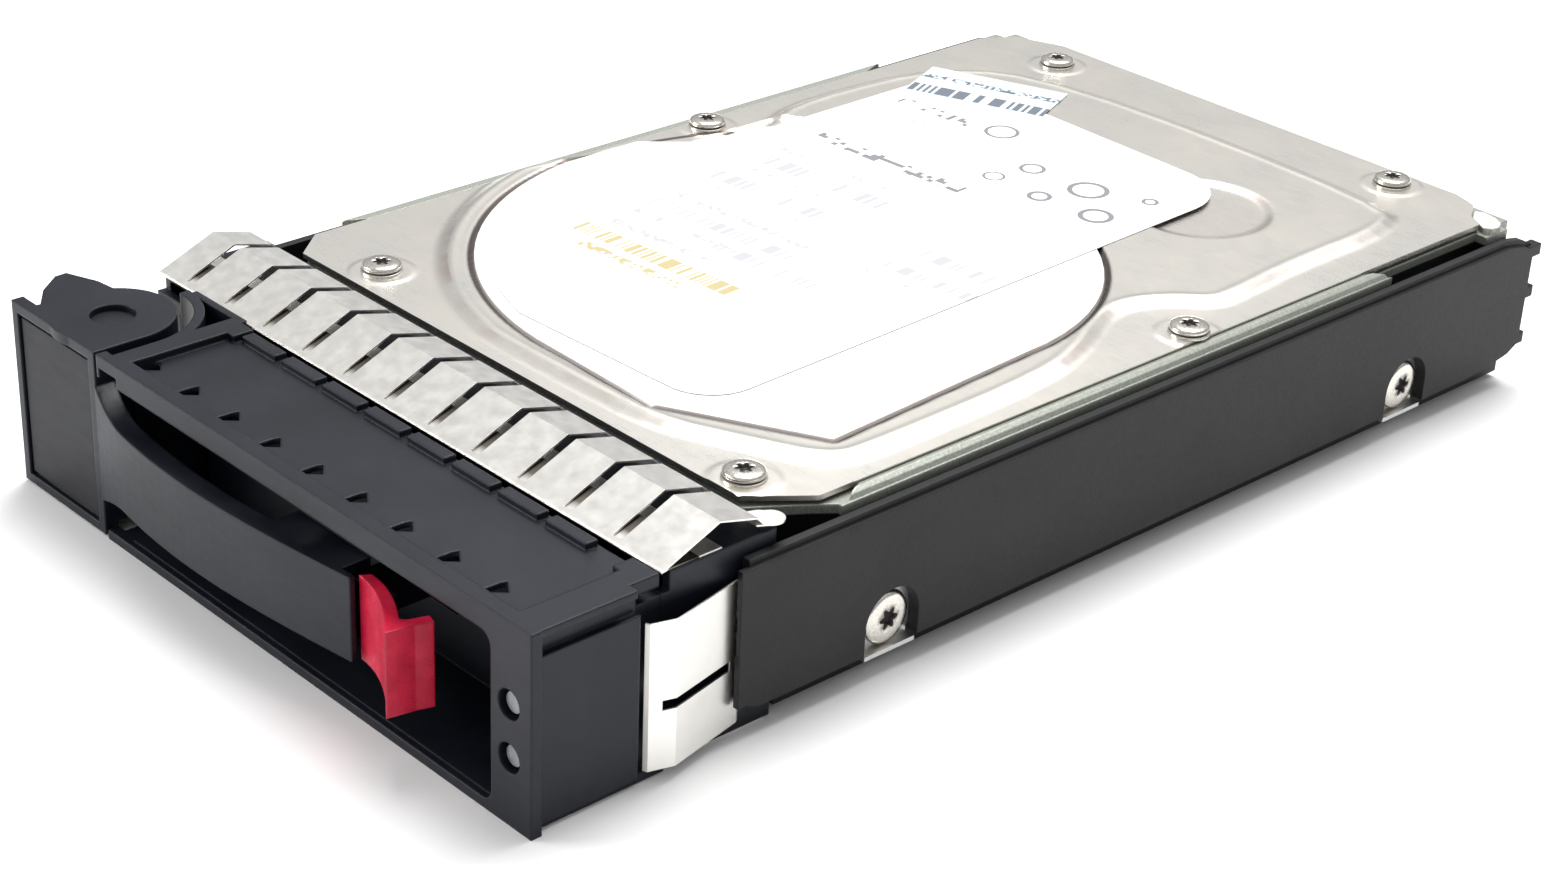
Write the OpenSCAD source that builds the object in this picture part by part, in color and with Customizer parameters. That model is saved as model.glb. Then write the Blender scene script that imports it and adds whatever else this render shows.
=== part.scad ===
// Hard disk drive, 3.5 inch form, screwed into a hot-swap server carrier.
// X runs across, Y runs from the front bezel to the host connector, Z is up.
// Sub-parts are drawn with X = 0 on the centre plane, Y = 0 at the front wall of the drive and
// Z = 0 on the table; place() then moves the middle of the whole box to the origin.

/* [Drive] */
// Width across the side walls of the drive
drive_w = 101.6; // [101.4:0.1:101.8]
// Length from the front wall to the host connector
drive_l = 147; // [146.6:0.1:147]
// Height from the bottom edge to the heads of the cover screws
drive_h = 26.1; // [26:0.1:26.3]
// Gap between the table and the bottom of the drive
drive_lift = 0.9; // [0.8:0.1:1.2]
// Thickness of the stamped cover
cover_t = 0.7; // [0.5:0.1:0.8]

/* [Disc pack] */
// Radius of each disc
disc_r = 47.5; // [47:0.1:47.5]
// Thickness of each disc
disc_t = 1.3; // [1.2:0.05:1.35]
// Number of discs
disc_count = 3; // [2:1:3]
// Distance from one disc to the next
disc_pitch = 4.2; // [4.15:0.05:4.3]
// Distance of the spindle from the front wall
spindle_y = 54.5; // [54:0.1:55]

/* [Actuator] */
// Actuator pivot, to the right of the centre plane
actuator_x = 21; // [20.8:0.1:21.2]
// Actuator pivot, from the front wall
actuator_y = 108.7; // [108.5:0.1:109]
// Distance from the actuator pivot to the middle of a head
arm_len = 50.5; // [50:0.1:51]
// Distance from the spindle to a parked head
park_r = 50.3; // [50.2:0.1:50.6]

/* [Carrier] */
// Width of the bezel's front
bezel_w = 107; // [106.8:0.1:107.4]
// Height of the bezel
bezel_h = 26.3; // [26:0.1:26.6]
// Distance of the bezel's front face ahead of the drive
bezel_reach = 38.5; // [38:0.5:39]
// Outside width over the two rails
rails_w = 106.6; // [106.4:0.1:107]
// Height of a rail
rail_h = 19.8; // [19:0.2:20.4]
// Length by which the rails pass the drive's front wall and its connector end
rail_end = 147.8; // [147.6:0.1:148.4]

/* [Lever] */
// Lever pivot, to the left of the centre plane
pivot_x = 42; // [41.8:0.1:42.2]
// Lever pivot, ahead of the drive
pivot_y = 30.7; // [30.5:0.1:30.9]
// Radius of the pivot pin
pin_r = 2.9; // [2.6:0.1:3]
// How far the handle bar bows forward
bow = 2.8; // [2:0.2:3.2]
// Height of the handle bar
bar_h = 11.2; // [10.6:0.2:11.4]

/* [EMI shield] */
// Number of spring fingers across the top
fingers = 12; // [10:1:12]
// Distance from one finger to the next
finger_pitch = 8.73; // [8.6:0.01:8.73]
// Height of the fingers' crest above the bezel's top
crest = 2.8; // [2:0.2:3]

/* [Hidden] */

$fn = 64;
eps = 0.01;

// Colours
charcoal = [0.20, 0.20, 0.23];
rail_grey = [0.25, 0.25, 0.27];
button_red = [0.72, 0.12, 0.24];
spring_metal = [0.90, 0.88, 0.84];
steel = [0.75, 0.75, 0.74];
cast_grey = [0.56, 0.58, 0.54];
cover_metal = [0.90, 0.89, 0.85];
black_rubber = [0.08, 0.08, 0.09];
copper = [0.75, 0.42, 0.22];
mirror_disc = [0.82, 0.82, 0.84];
board_green = [0.05, 0.25, 0.16];

// Levels in the drive
z_bottom = drive_lift;
z_top = z_bottom + drive_h;
plateau_z = z_top - 0.7;
land_z = plateau_z - 0.8;
gasket_t = 0.5;
wall_z = land_z - cover_t - gasket_t;
floor_top_z = z_bottom + 5.6;
floor_under_z = z_bottom + 3.1;
half_w = drive_w / 2;

// Disc pack
first_disc_z = floor_top_z + 3.7;
chamber_r = disc_r + 0.7;
hub_r = 12.4;
clamp_r = 16;
spindle = [0, spindle_y];

// Actuator: the parked direction comes from the triangle of spindle, pivot and head
actuator = [actuator_x, actuator_y];
pivot_to_spindle = norm(actuator - spindle);
to_spindle_deg = atan2(spindle_y - actuator_y, -actuator_x) + 360;
park_deg = to_spindle_deg - acos((pow(pivot_to_spindle, 2) + pow(arm_len, 2) - pow(park_r, 2))
  / (2 * pivot_to_spindle * arm_len));
swing_deg = 33;
coil_deg = park_deg - 180;
block_r = 7.5;
arm_t = 0.9;
coil_in_r = 12;
coil_out_r = 23;
coil_half_deg = 25;
coil_z = 14.4;
coil_t = 3.2;
yoke_t = 2.2;
magnet_t = 2.2;

// Screws
six_thread_r = 1.35;
side_hole_z = z_bottom + 6.35;
side_hole_y = [drive_l - 130.1, drive_l - 28.5];
bottom_hole_y = [drive_l - 85.73, drive_l - 41.28];
bottom_hole_x = 47.625;
cover_head_r = 2.85;
cover_screw_at = [[-33.4, 5.2], [40.2, 3.9], [-46.4, 74.6], [46.6, 76.6], [-32.4, 137], [31.8, 139.8]];

// Carrier
front_y = -bezel_reach;
bezel_half = bezel_w / 2;
plate_t = 1.5;
bezel_back_y = -19.3;
tray_z = bezel_h - 1;
neck_x = 51.2;
neck_top_z = bezel_h - 3.4;
neck_y = -18.4;
rail_half = rails_w / 2;
rail_z = 3.8;
frame_x = half_w + 0.1;
frame_t = 0.6;

// Lever
pivot = [-pivot_x, -pivot_y];
bar_x0 = -34;
bar_x1 = 20.8;
bar_z = 7.5;
bar_t = 2.9;
press_room = 2.4;
end_skin = 0.75;
lever_top_z = bezel_h;
lever_deg = 45;
bay_r = 10.2;
slot_z = 12;
slot_t = 2;

// EMI strip
strip_x1 = 51;
strip_y0 = -18.2;
strip_t = 0.25;
strip_z = bezel_h - 0.25;

// The frame's origin is the middle of the whole box, on the table
hook_tip = 14.7;
button_reach = 4.5;
box_x = [-pivot_x - hook_tip, neck_x + 3.1];
box_y = [front_y - button_reach, rail_end];
origin_shift = [-(box_x[0] + box_x[1]) / 2, -(box_y[0] + box_y[1]) / 2, 0];

module place() translate(origin_shift) children();

// Point on a circle
function polar(c, r, a) = [c[0] + r * cos(a), c[1] + r * sin(a)];
function arc(c, r, a0, a1, n = 24) = [for (i = [0:n]) polar(c, r, a0 + (a1 - a0) * i / n)];

// Square with round corners, drawn from its low corner
module round_rect(size, r) {
  translate([r, 0]) square([size[0] - 2 * r, size[1]]);
  translate([0, r]) square([size[0], size[1] - 2 * r]);
  for (x = [r, size[0] - r], y = [r, size[1] - r]) translate([x, y]) circle(r);
}

// Plate with round corners lying on z
module plate(x0, y0, x1, y1, z0, z1, r = 1) {
  translate([x0, y0, z0]) linear_extrude(z1 - z0) round_rect([x1 - x0, y1 - y0], r);
}

module block(x0, y0, z0, x1, y1, z1) {
  translate([x0, y0, z0]) cube([x1 - x0, y1 - y0, z1 - z0]);
}

// Slice of a ring between two angles
module fan(c, r0, r1, a0, a1) {
  polygon(concat(arc(c, r1, a0, a1), arc(c, r0, a1, a0)));
}

// Screw with a round head on a collar, its axis along +Z and its head's underside at z = 0
module screw(head_r, head_t, shank_r, shank_l, recess_r = 1.3) {
  difference() {
    union() {
      cylinder(r = head_r, h = head_t);
      translate([0, 0, -shank_l]) cylinder(r = shank_r, h = shank_l + eps);
    }
    translate([0, 0, head_t - 0.6]) six_lobe(recess_r, 1);
  }
}

// Six-lobe driver recess
module six_lobe(r, h) {
  linear_extrude(h) {
    circle(r * 0.72);
    for (a = [0:60:300]) rotate(a) translate([r * 0.7, 0]) circle(r * 0.3, $fn = 24);
  }
}

// Tube swept along points, as one closed surface with flat ends
function unit(v) = v / norm(v);
function tangent(p, i) = unit(p[min(i + 1, len(p) - 1)] - p[max(i - 1, 0)]);
module sweep(points, r, up, sides = 8) {
  n = len(points);
  rings = [for (i = [0:n - 1]) let (t = tangent(points, i), u = unit(cross(t, up)), v = cross(t, u))
    [for (s = [0:sides - 1]) points[i] + r * (cos(360 * s / sides) * u + sin(360 * s / sides) * v)]];
  pts = [for (ring = rings) each ring];
  walls = [for (i = [0:n - 2], s = [0:sides - 1])
    let (a = i * sides + s, b = i * sides + (s + 1) % sides)
    each [[a, b, b + sides], [a, b + sides, a + sides]]];
  ends = [[for (s = [sides - 1:-1:0]) s], [for (s = [0:sides - 1]) (n - 1) * sides + s]];
  polyhedron(pts, concat(walls, ends));
}

// ---------------------------------------------------------------- carrier

// Bezel: front plate with the finger pocket, hollow body behind it, and the lever's bay at the left
module bezel() place() color(charcoal) {
  bezel_shell();
  // Tabs in front of the spring fingers, on the floor of the tray
  for (i = [0:7]) block(-26.7 + finger_pitch * i, -21.3, tray_z - eps, -19.4 + finger_pitch * i, -19.6,
      bezel_h - 0.1);
}

module bezel_shell() difference() {
  union() {
    difference() {
      block(-33.3, front_y, 0, bezel_half, front_y + plate_t, bezel_h);
      translate([-60, front_y - 1, 1.3]) cube([106.4, plate_t + 2, 21.9]);
    }
    // Strip of plate left of the pocket's rounded corners
    pocket_corners();
    block(51.3, front_y + 1, 1, 52.8, -22.6, 22.6);
    block(50.6, front_y + 1, 22.6, 51.9, -22.6, 25.5);
    block(50.6, front_y + 1, 25.4, bezel_half - 0.1, -23.6, bezel_h);
    block(-31.8, front_y + 1, 24.6, 51.9, bezel_back_y, bezel_h);
    block(-31.8, front_y + 1, 0.2, 52.4, neck_y, 1.4);
    block(-31.8, -24, 1, 47.6, -22.6, 25);
    block(46.4, front_y + 1, 1, 47.5, -22.6, 25);
    light_pipe_post();
    lever_bay();
  }
  // Tray in the top, open at the back between the tabs
  block(-28.6, front_y + 2.3, tray_z, 48.6, -22.2, bezel_h + 1);
  block(-27.2, -22.3, tray_z, 47.4, bezel_back_y + eps, bezel_h + 1);
  // Wedge holes in the top
  for (i = [0:8]) translate([-27 + finger_pitch * i, -33.6, 24]) linear_extrude(3)
    polygon([[-1.7, -2.8], [0.7, -0.1], [-1.3, 1.3], [-1.6, 0.5]]);
  // Latch window in the pocket's back wall
  block(latch_x - 2.9, -25, 8.6, latch_x + 5.5, -22, 17.6);
  // Status light holes
  for (z = [15.8, 8.9]) translate([49.6, front_y - 1, z]) rotate([-90, 0, 0]) cylinder(r = 1.9, h = 6);
  // The bay's round wall clears the lever
  translate([pivot[0], pivot[1], -1]) cylinder(r = pin_r, h = 20);
  // The bay opens into the pocket where the handle bar passes
  block(pivot[0] + bay_r - 1, front_y - 1, 1.3, pivot[0] + bay_r + 3, -34.7, 24.6);
}

// Rounded right-hand corners of the pocket's mouth
module pocket_corners() {
  r = 1.8;
  for (z = [[1.3, 1], [23.2, -1]]) translate([46.4 - r, front_y + plate_t, z[0]])
    rotate([90, 0, 0]) linear_extrude(plate_t)
      difference() {
        translate([0, min(0, z[1] * r)]) square(r);
        translate([0, z[1] * r]) circle(r);
      }
}

// Hollow post behind the status lights
module light_pipe_post() difference() {
  block(45, -23.9, 0.2, neck_x, neck_y, neck_top_z);
  block(47.5, -25, 1.4, neck_x - 1.2, -17, 21.7);
}

// Neck behind the bezel, which carries the EMI shield: a frame round the cooling air
module shield_neck() place() color(charcoal) difference() {
  union() {
    block(-neck_x, neck_y, 0.2, neck_x, -1, neck_top_z);
    block(-neck_x, -17.1, 0.2, neck_x, -1, 25.4);
  }
  block(-neck_x + 1.2, -17.1, 1.4, neck_x - 1.2, -2.2, 24.2);
  // Window for the air, in the wall that faces the drive
  block(-46, -3, 4, 46, 0, 21.6);
  // Way through for the light pipes
  block(48, -19, 7, neck_x - 1, -16, 18);
  block(neck_x - 2.4, -6.3, 10.8, neck_x + 1, 0, 17.6);
}

// The bay's walls and the two ears that hold the pivot pin
module lever_bay() {
  translate([0, 0, 0.2]) linear_extrude(bezel_h - 0.2) fan(pivot, bay_r, bay_r + 1.4, -6, 92);
  block(pivot[0] + bay_r, front_y + 1, 0.2, pivot[0] + bay_r + 1.4, pivot[1] + 0.5, bezel_h);
  block(pivot[0] - 0.9, pivot[1] + bay_r, 0.2, pivot[0] + 0.5, neck_y, neck_top_z);
  block(pivot[0] + 0.5, pivot[1] + bay_r + 1.2, 0.2, pivot[0] + 12, neck_y, bezel_h);
  ear(0.2, 1.4, 5.6);
  ear(slot_z, slot_z + slot_t, 5.2);
}

module ear(z0, z1, r) {
  translate([pivot[0], pivot[1], z0]) cylinder(r = r, h = z1 - z0);
  block(pivot[0] - 3.5, pivot[1], z0, pivot[0] + 3.5, neck_y, z1);
}

// Side rail: a plate with cut-outs round the side screws and prongs at its end
module rail(side) {
  inner = frame_x + frame_t;
  z1 = rail_z + rail_h;
  place() color(rail_grey) mirror([side < 0 ? 1 : 0, 0, 0]) difference() {
    union() {
      // Outline in the side view, run across the rail's thickness
      translate([inner, 0, 0]) rotate([90, 0, 90]) linear_extrude(rail_half - inner - 0.6)
        rail_outline(0);
      translate([rail_half - 0.6 - eps, 0, 0]) rotate([90, 0, 90]) linear_extrude(0.6 + eps)
        rail_outline(0.8);
      // Lip over the rear edge of the side shield
      block(rail_half - 0.8, -8, rail_z + 0.8, rail_half, -6, z1 - 0.8);
      // Prongs at the rear end
      for (p = [[2.2, 0.9], [9.5, 0.4], [z1 - rail_z - 3.8, 0]])
        block(inner, 145, rail_z + p[0], rail_half, rail_end - p[1], rail_z + p[0] + 1.7);
    }
    for (y = side_hole_y) {
      translate([inner - 1, y, side_hole_z]) rotate([0, 90, 0]) cylinder(r = 4.5, h = 5);
      block(inner - 1, y - 4.5, 0, inner + 4, y + 4.5, side_hole_z);
    }
    // Channel for the light pipes
    if (side > 0) for (z = [15.8, 12.6]) block(inner - 1, -8, z - 1.1, inner + 1.2, 143.6, z + 1.1);
  }
}

// Side view of a rail: its top dips and its lower corner rounds up at the rear end
module rail_outline(drop) {
  z1 = rail_z + rail_h - drop;
  polygon([[-6.4, rail_z + 0.6], [-4.6, rail_z], [134, rail_z], [139, rail_z + 0.5], [143.4, rail_z + 1.2],
    [145.4, rail_z + 2.2], [145.8, rail_z + 3.4], [146, z1 - 1.9], [143.6, z1 - 0.7], [140, z1],
        [-6.4, z1]]);
}
module left_rail() rail(-1);
module right_rail() rail(1);

// Sheet steel frame: a strip on each side, clamped under the side screws, with a lip in each cut-out
// of the rail
module carrier_frame() place() color(steel) difference() {
  for (s = [0, 1]) mirror([s, 0, 0]) {
    block(frame_x, -0.8, rail_z + 0.6, frame_x + frame_t, 144, 19.5);
    for (y = side_hole_y) block(frame_x, y - 4.2, rail_z - 0.9, frame_x + 2.2, y + 4.2, rail_z - 0.3);
    for (y = side_hole_y) block(frame_x, y - 4.2, rail_z - 0.9, frame_x + frame_t, y + 4.2, rail_z + 0.7);
  }
  for (y = side_hole_y) translate([-60, y, side_hole_z]) rotate([0, 90, 0]) cylinder(r = 1.9, h = 120);
}

// Side screws: flat round heads that clamp the frame to the drive
module side_screws() place() color(steel)
  for (y = side_hole_y, s = [-1, 1])
    translate([s * (frame_x + frame_t), y, side_hole_z]) rotate([0, s * 90, 0])
      screw(3.6, 1.2, six_thread_r - 0.05, 4.4, 1.4);

// Cross-section of the spring fingers: up to a crest and down to the drive
strip_line = [[strip_y0, strip_z - 0.5], [-9.6, strip_z + crest + 0.25], [-3.8, strip_z + crest - 1.3],
  [-2.6, strip_z + crest - 2.5]];

// Band of thickness t along an open line in the YZ plane
function normal2(p, i) = let (d = unit(p[min(i + 1, len(p) - 1)] - p[max(i - 1, 0)])) [-d[1], d[0]];
function band(p, t) = concat(p, [for (i = [len(p) - 1:-1:0]) p[i] - t * normal2(p, i)]);

module emi_top_fingers() place() color(spring_metal) {
  difference() {
    translate([-strip_x1, 0, 0]) rotate([90, 0, 90]) linear_extrude(2 * strip_x1)
      polygon(band(strip_line, strip_t));
    for (i = [1:fingers - 1]) let (x = strip_x1 - finger_pitch * i)
      block(x - 0.75, strip_y0 + 0.9, 20, x + 0.75, 0, 40);
  }
  // Rounded tongue on the rightmost finger
  translate([0, 0, strip_z + crest - 2.75]) linear_extrude(strip_t) {
    translate([strip_x1 - 0.8, -1]) circle(1.7);
    polygon([[strip_x1 - 4, -3.6], [strip_x1 - 0.4, -3.6], [strip_x1 + 0.8, -1.5], [strip_x1 - 0.9, 0.69],
      [strip_x1 - 3, -1]]);
  }
  // Flat base that lies on the neck, folded over at the front into the fingers
  block(-strip_x1, strip_y0 + 0.05, 25.42, strip_x1, -9.2, 25.67);
  // Under-layer seen through the front half of the slots
  translate([-strip_x1 + 0.4, 0, 0]) rotate([90, 0, 90]) linear_extrude(2 * strip_x1 - 0.8)
    polygon(band([[strip_y0 + 0.8, 25.6], [-13.2, strip_z + 1]], strip_t));
}

// Side shield: a panel with a vertical kink, and a bent slot
module emi_side(side, y0) {
  place() color(spring_metal) mirror([side < 0 ? 1 : 0, 0, 0]) difference() {
    translate([0, 0, 1.8]) linear_extrude(19.4)
      polygon(band([[neck_x + 0.35, -6.4], [neck_x + 0.7, -6.9], [neck_x + 3.1, y0 + 3.3],
        [neck_x + 2.1, y0], [neck_x + 1.5, y0 - 0.3]], strip_t));
    block(neck_x - 2, y0 + 1.6, 9.6, neck_x + 5, -8.6, 10.9);
  }
}
module emi_right_panel() emi_side(1, -21.6);
module emi_left_panel() emi_side(-1, -17);

// Bottom shield under the neck
module emi_bottom_panel() place() color(spring_metal) difference() {
  block(-neck_x, -17, 0, neck_x, -2, 0.19);
  for (i = [-5:5]) block(8.73 * i - 0.6, -15.5, -1, 8.73 * i + 0.6, -4, 1);
}

// Light pipe: a round lens in the bezel, a bend, and a flat bar along the rail
module light_pipe(z_front, z_rail) place() color([0.85, 0.87, 0.88]) {
  x_front = 49.6;
  x_rail = frame_x + frame_t + 0.6;
  translate([x_front, front_y + 0.7, z_front]) rotate([-90, 0, 0]) cylinder(r = 1.3, h = 8.8);
  translate([0, 0, min(z_front, z_rail) - 0.8]) linear_extrude(abs(z_front - z_rail) + 1.6)
    polygon([[x_front - 0.6, front_y + 9], [x_front + 0.3, front_y + 9], [x_front + 0.3, front_y + 12],
      [x_front - 0.6, front_y + 12]]);
  translate([0, 0, z_rail - 0.8]) linear_extrude(1.6)
    polygon([[x_front - 0.6, front_y + 9], [x_front + 0.3, front_y + 9], [x_front + 0.3, -6.2],
      [x_rail + 0.5, -1.6], [x_rail + 0.5, 143], [x_rail - 0.5, 143], [x_rail - 0.5, -1],
      [x_front - 0.6, -5.6]]);
}
module light_pipe_upper() light_pipe(15.8, 15.8);
module light_pipe_lower() light_pipe(8.9, 12.6);

// ---------------------------------------------------------------- lever and button

// Front of the handle bar: a shallow bow with its deepest point left of the middle
function bow_y(x) = front_y - 0.1 - bow * sin(180 * pow((x - bar_x0) / 57, 0.85));
bar_xs = [for (i = [0:24]) bar_x0 + (bar_x1 - bar_x0) * i / 24];

// Lever: pivot block with its cam hook, and the bowed handle bar
module lever() place() color(charcoal) difference() {
  union() {
    // Block behind the front panel
    translate([0, 0, 1.7]) linear_extrude(lever_top_z - 1.7) {
      translate(pivot) circle(8.1);
      translate([-50.3, -37.2]) square([16.4, 37.2 - pivot_y]);
      polygon([[-50.4, -36.2], [-53.8, -33.8], [-56.6, -30.4], [pivot[0] - hook_tip, -28.7],
          [-52, -26.8], [-46, -26]]);
    }
    // Front panel down to the table's clearance
    block(-53.7, front_y, 0.3, -33.9, -36.8, lever_top_z);
    handle_bar();
  }
  // Pin bore with a shallow counterbore at the top
  translate([pivot[0], pivot[1], -1]) cylinder(r = pin_r + 0.05, h = 40);
  // Slot for the bezel's middle ear, and the spring's pocket below it
  difference() {
    translate([pivot[0], pivot[1], slot_z - 0.35]) cylinder(r = 17, h = slot_t + 0.7);
    block(-60, front_y - 2, 0, -20, -36.2, 30);
  }
  translate([pivot[0], pivot[1], 5]) cylinder(r = 5.6, h = 8);
  // Recess of the label plate
  plate_recess();
}

module plate_recess() {
  translate([-52.4, front_y + 0.8, 1.5]) rotate([90, 0, 0]) linear_extrude(2) square([17, 23.4]);
}

module handle_bar() {
  front = [for (x = bar_xs) [x, bow_y(x)]];
  back = [for (i = [len(bar_xs) - 1:-1:0]) [bar_xs[i], bow_y(bar_xs[i]) + bar_t]];
  z1 = bar_z + bar_h;
  difference() {
    intersection() {
      linear_extrude(bezel_h) polygon(concat(front, back));
      // Side view: full height at the block, blending into the slim bar
      translate([0, 0, 0]) rotate([90, 0, 0]) linear_extrude(60)
        polygon(concat([[bar_x0 - 0.5, 5.2]], [for (i = [0:8]) [bar_x0 + i,
            5.4 + (bar_z - 5.4) * sin(11.25 * i)]],
          [[bar_x1, bar_z], [bar_x1, z1]],
          [for (i = [8:-1:0]) [bar_x0 + i, 21.6 + (z1 - 21.6) * sin(11.25 * i)]], [[bar_x0 - 0.5, 22]]));
    }
    // Hollow behind the skin, open to the back
    translate([0, 0, bar_z + 1.3]) linear_extrude(bar_h - 2.6)
      polygon(concat([for (x = bar_xs) if (x > -24) [x, bow_y(x) + 1.1]],
          [[bar_x1 + 1, bow_y(bar_x1) + 1.1],
        [bar_x1 + 1, -30], [-22, -30]]));
    // The flanges end where the pressed button slides in behind the skin
    block(bar_x1 - press_room, bow_y(bar_x1) + end_skin, bar_z - 1, bar_x1 + 1, -30, z1 + 1);
  }
  // Guides that carry the button
  difference() {
    block(4, bow_y(12) + 1.6, bar_z, bar_x1 - press_room, -34.2, z1);
    block(3, -60, bar_z + 1.3, bar_x1 + 1, -30, z1 - 1.3);
  }
}

// Label plate in the front of the lever
module label_plate() place() color([0.24, 0.24, 0.26])
  block(-51.9, front_y + 0.3, 2.1, -35.9, front_y + 0.8, 24.3);

// Pivot pin
module lever_pivot_pin() place() color(steel) translate([pivot[0], pivot[1], 0.2]) cylinder(r = pin_r,
    h = 25.3);

// Torsion spring round the pivot pin
spring_turns = 4;
spring_r = 4.3;
wire_r = 0.4;
module lever_spring() place() color(steel) {
  coil = [for (i = [0:16 * spring_turns]) [pivot[0] + spring_r * cos(22.5 * i),
      pivot[1] + spring_r * sin(22.5 * i),
    5.8 + 1.2 * i / 16]];
  sweep(coil, wire_r, [0, 0, 1]);
}

// Plan view of the button: a thin flared wall that turns back at its tip
button_x = bar_x1 + 0.05;
flare = 12.2;
module button_wall_2d() {
  outer = [for (i = [0:10]) [button_x + flare * i / 10,
      front_y + 0.9 - (button_reach + 0.9) * pow(i / 10, 1.8)]];
  inner = [for (i = [9:-1:0]) [button_x + 0.8 + 11 * i / 10, front_y + 2.2 - 4.2 * pow(i / 10, 1.8)]];
  polygon(concat(outer, [[button_x + flare + 0.3, front_y - 3], [button_x + flare + 0.7, front_y - 0.8],
    [button_x + 13.6, front_y + 1.4], [button_x + 12.2, front_y + 1.8],
        [button_x + 11.4, front_y - 0.6]], inner));
}
module release_button() place() color(button_red)
  translate([0, 0, bar_z]) linear_extrude(bar_h) button_wall_2d();

// Latch moulded behind the button: the tongue in the handle, and the arm with its nose
latch_x = 16.1;
module release_latch() place() color(charcoal) {
  difference() {
    translate([0, 0, bar_z + 1.6]) linear_extrude(bar_h - 3.2) polygon([[8, -36.9], [button_x + 1.2, -36.9],
      [button_x + 2.6, -37.4], [button_x + 4.8, -37.6], [button_x + 4.2, -35.2], [8, -35.2]]);
    translate([0, 0, bar_z - 1]) linear_extrude(bar_h + 2) button_wall_2d();
  }
  // Arm with its nose behind the pocket's back wall
  block(latch_x, -35.5, 10, latch_x + 1.8, -21.4, 16);
  translate([0, 0, 10]) linear_extrude(6)
    polygon([[latch_x, -21.5], [latch_x + 1.7, -22.2], [latch_x + 4.4, -22.2], [latch_x + 1.8, -19.6]]);
}

// Button spring, between the handle's stop and the tongue
module button_spring() place() color(steel)
  sweep([for (i = [0:60]) [1.4 + 4 * i / 60, -36.05 + 1.0 * cos(36 * i),
      bar_z + bar_h / 2 + 1.0 * sin(36 * i)]],
    0.2, [1, 0, 0]);

// ---------------------------------------------------------------- drive, outer pieces

// Outline of the cover in the plan view
cover_half = half_w - 2;
cover_outline = [[-44.6, 0.3], [43, 0.3], [cover_half, 8], [cover_half, 138], [46.3, 139.4], [44, 143.2],
  [40, drive_l - 2.4], [-38, drive_l - 2.4], [-45.8, 141.5], [-cover_half, 136], [-cover_half, 5.2]];

// Space for the actuator behind the discs
module bay_2d(grow = 0) {
  polygon([[-42 - grow, 70], [46 + grow, 90], [46 + grow, 128], [41 + grow, 134.6 + grow],
      [8, 134.6 + grow],
    [2, 130.6 + grow], [-36, 130.6 + grow], [-42 - grow, 124]]);
}
module chamber_2d(grow = 0) {
  translate(spindle) circle(chamber_r + grow, $fn = 96);
  difference() {
    bay_2d(grow);
    // The wall comes in round the middle cover screws
    translate([46.6, 76.6]) circle(5.2);
  }
}

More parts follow.
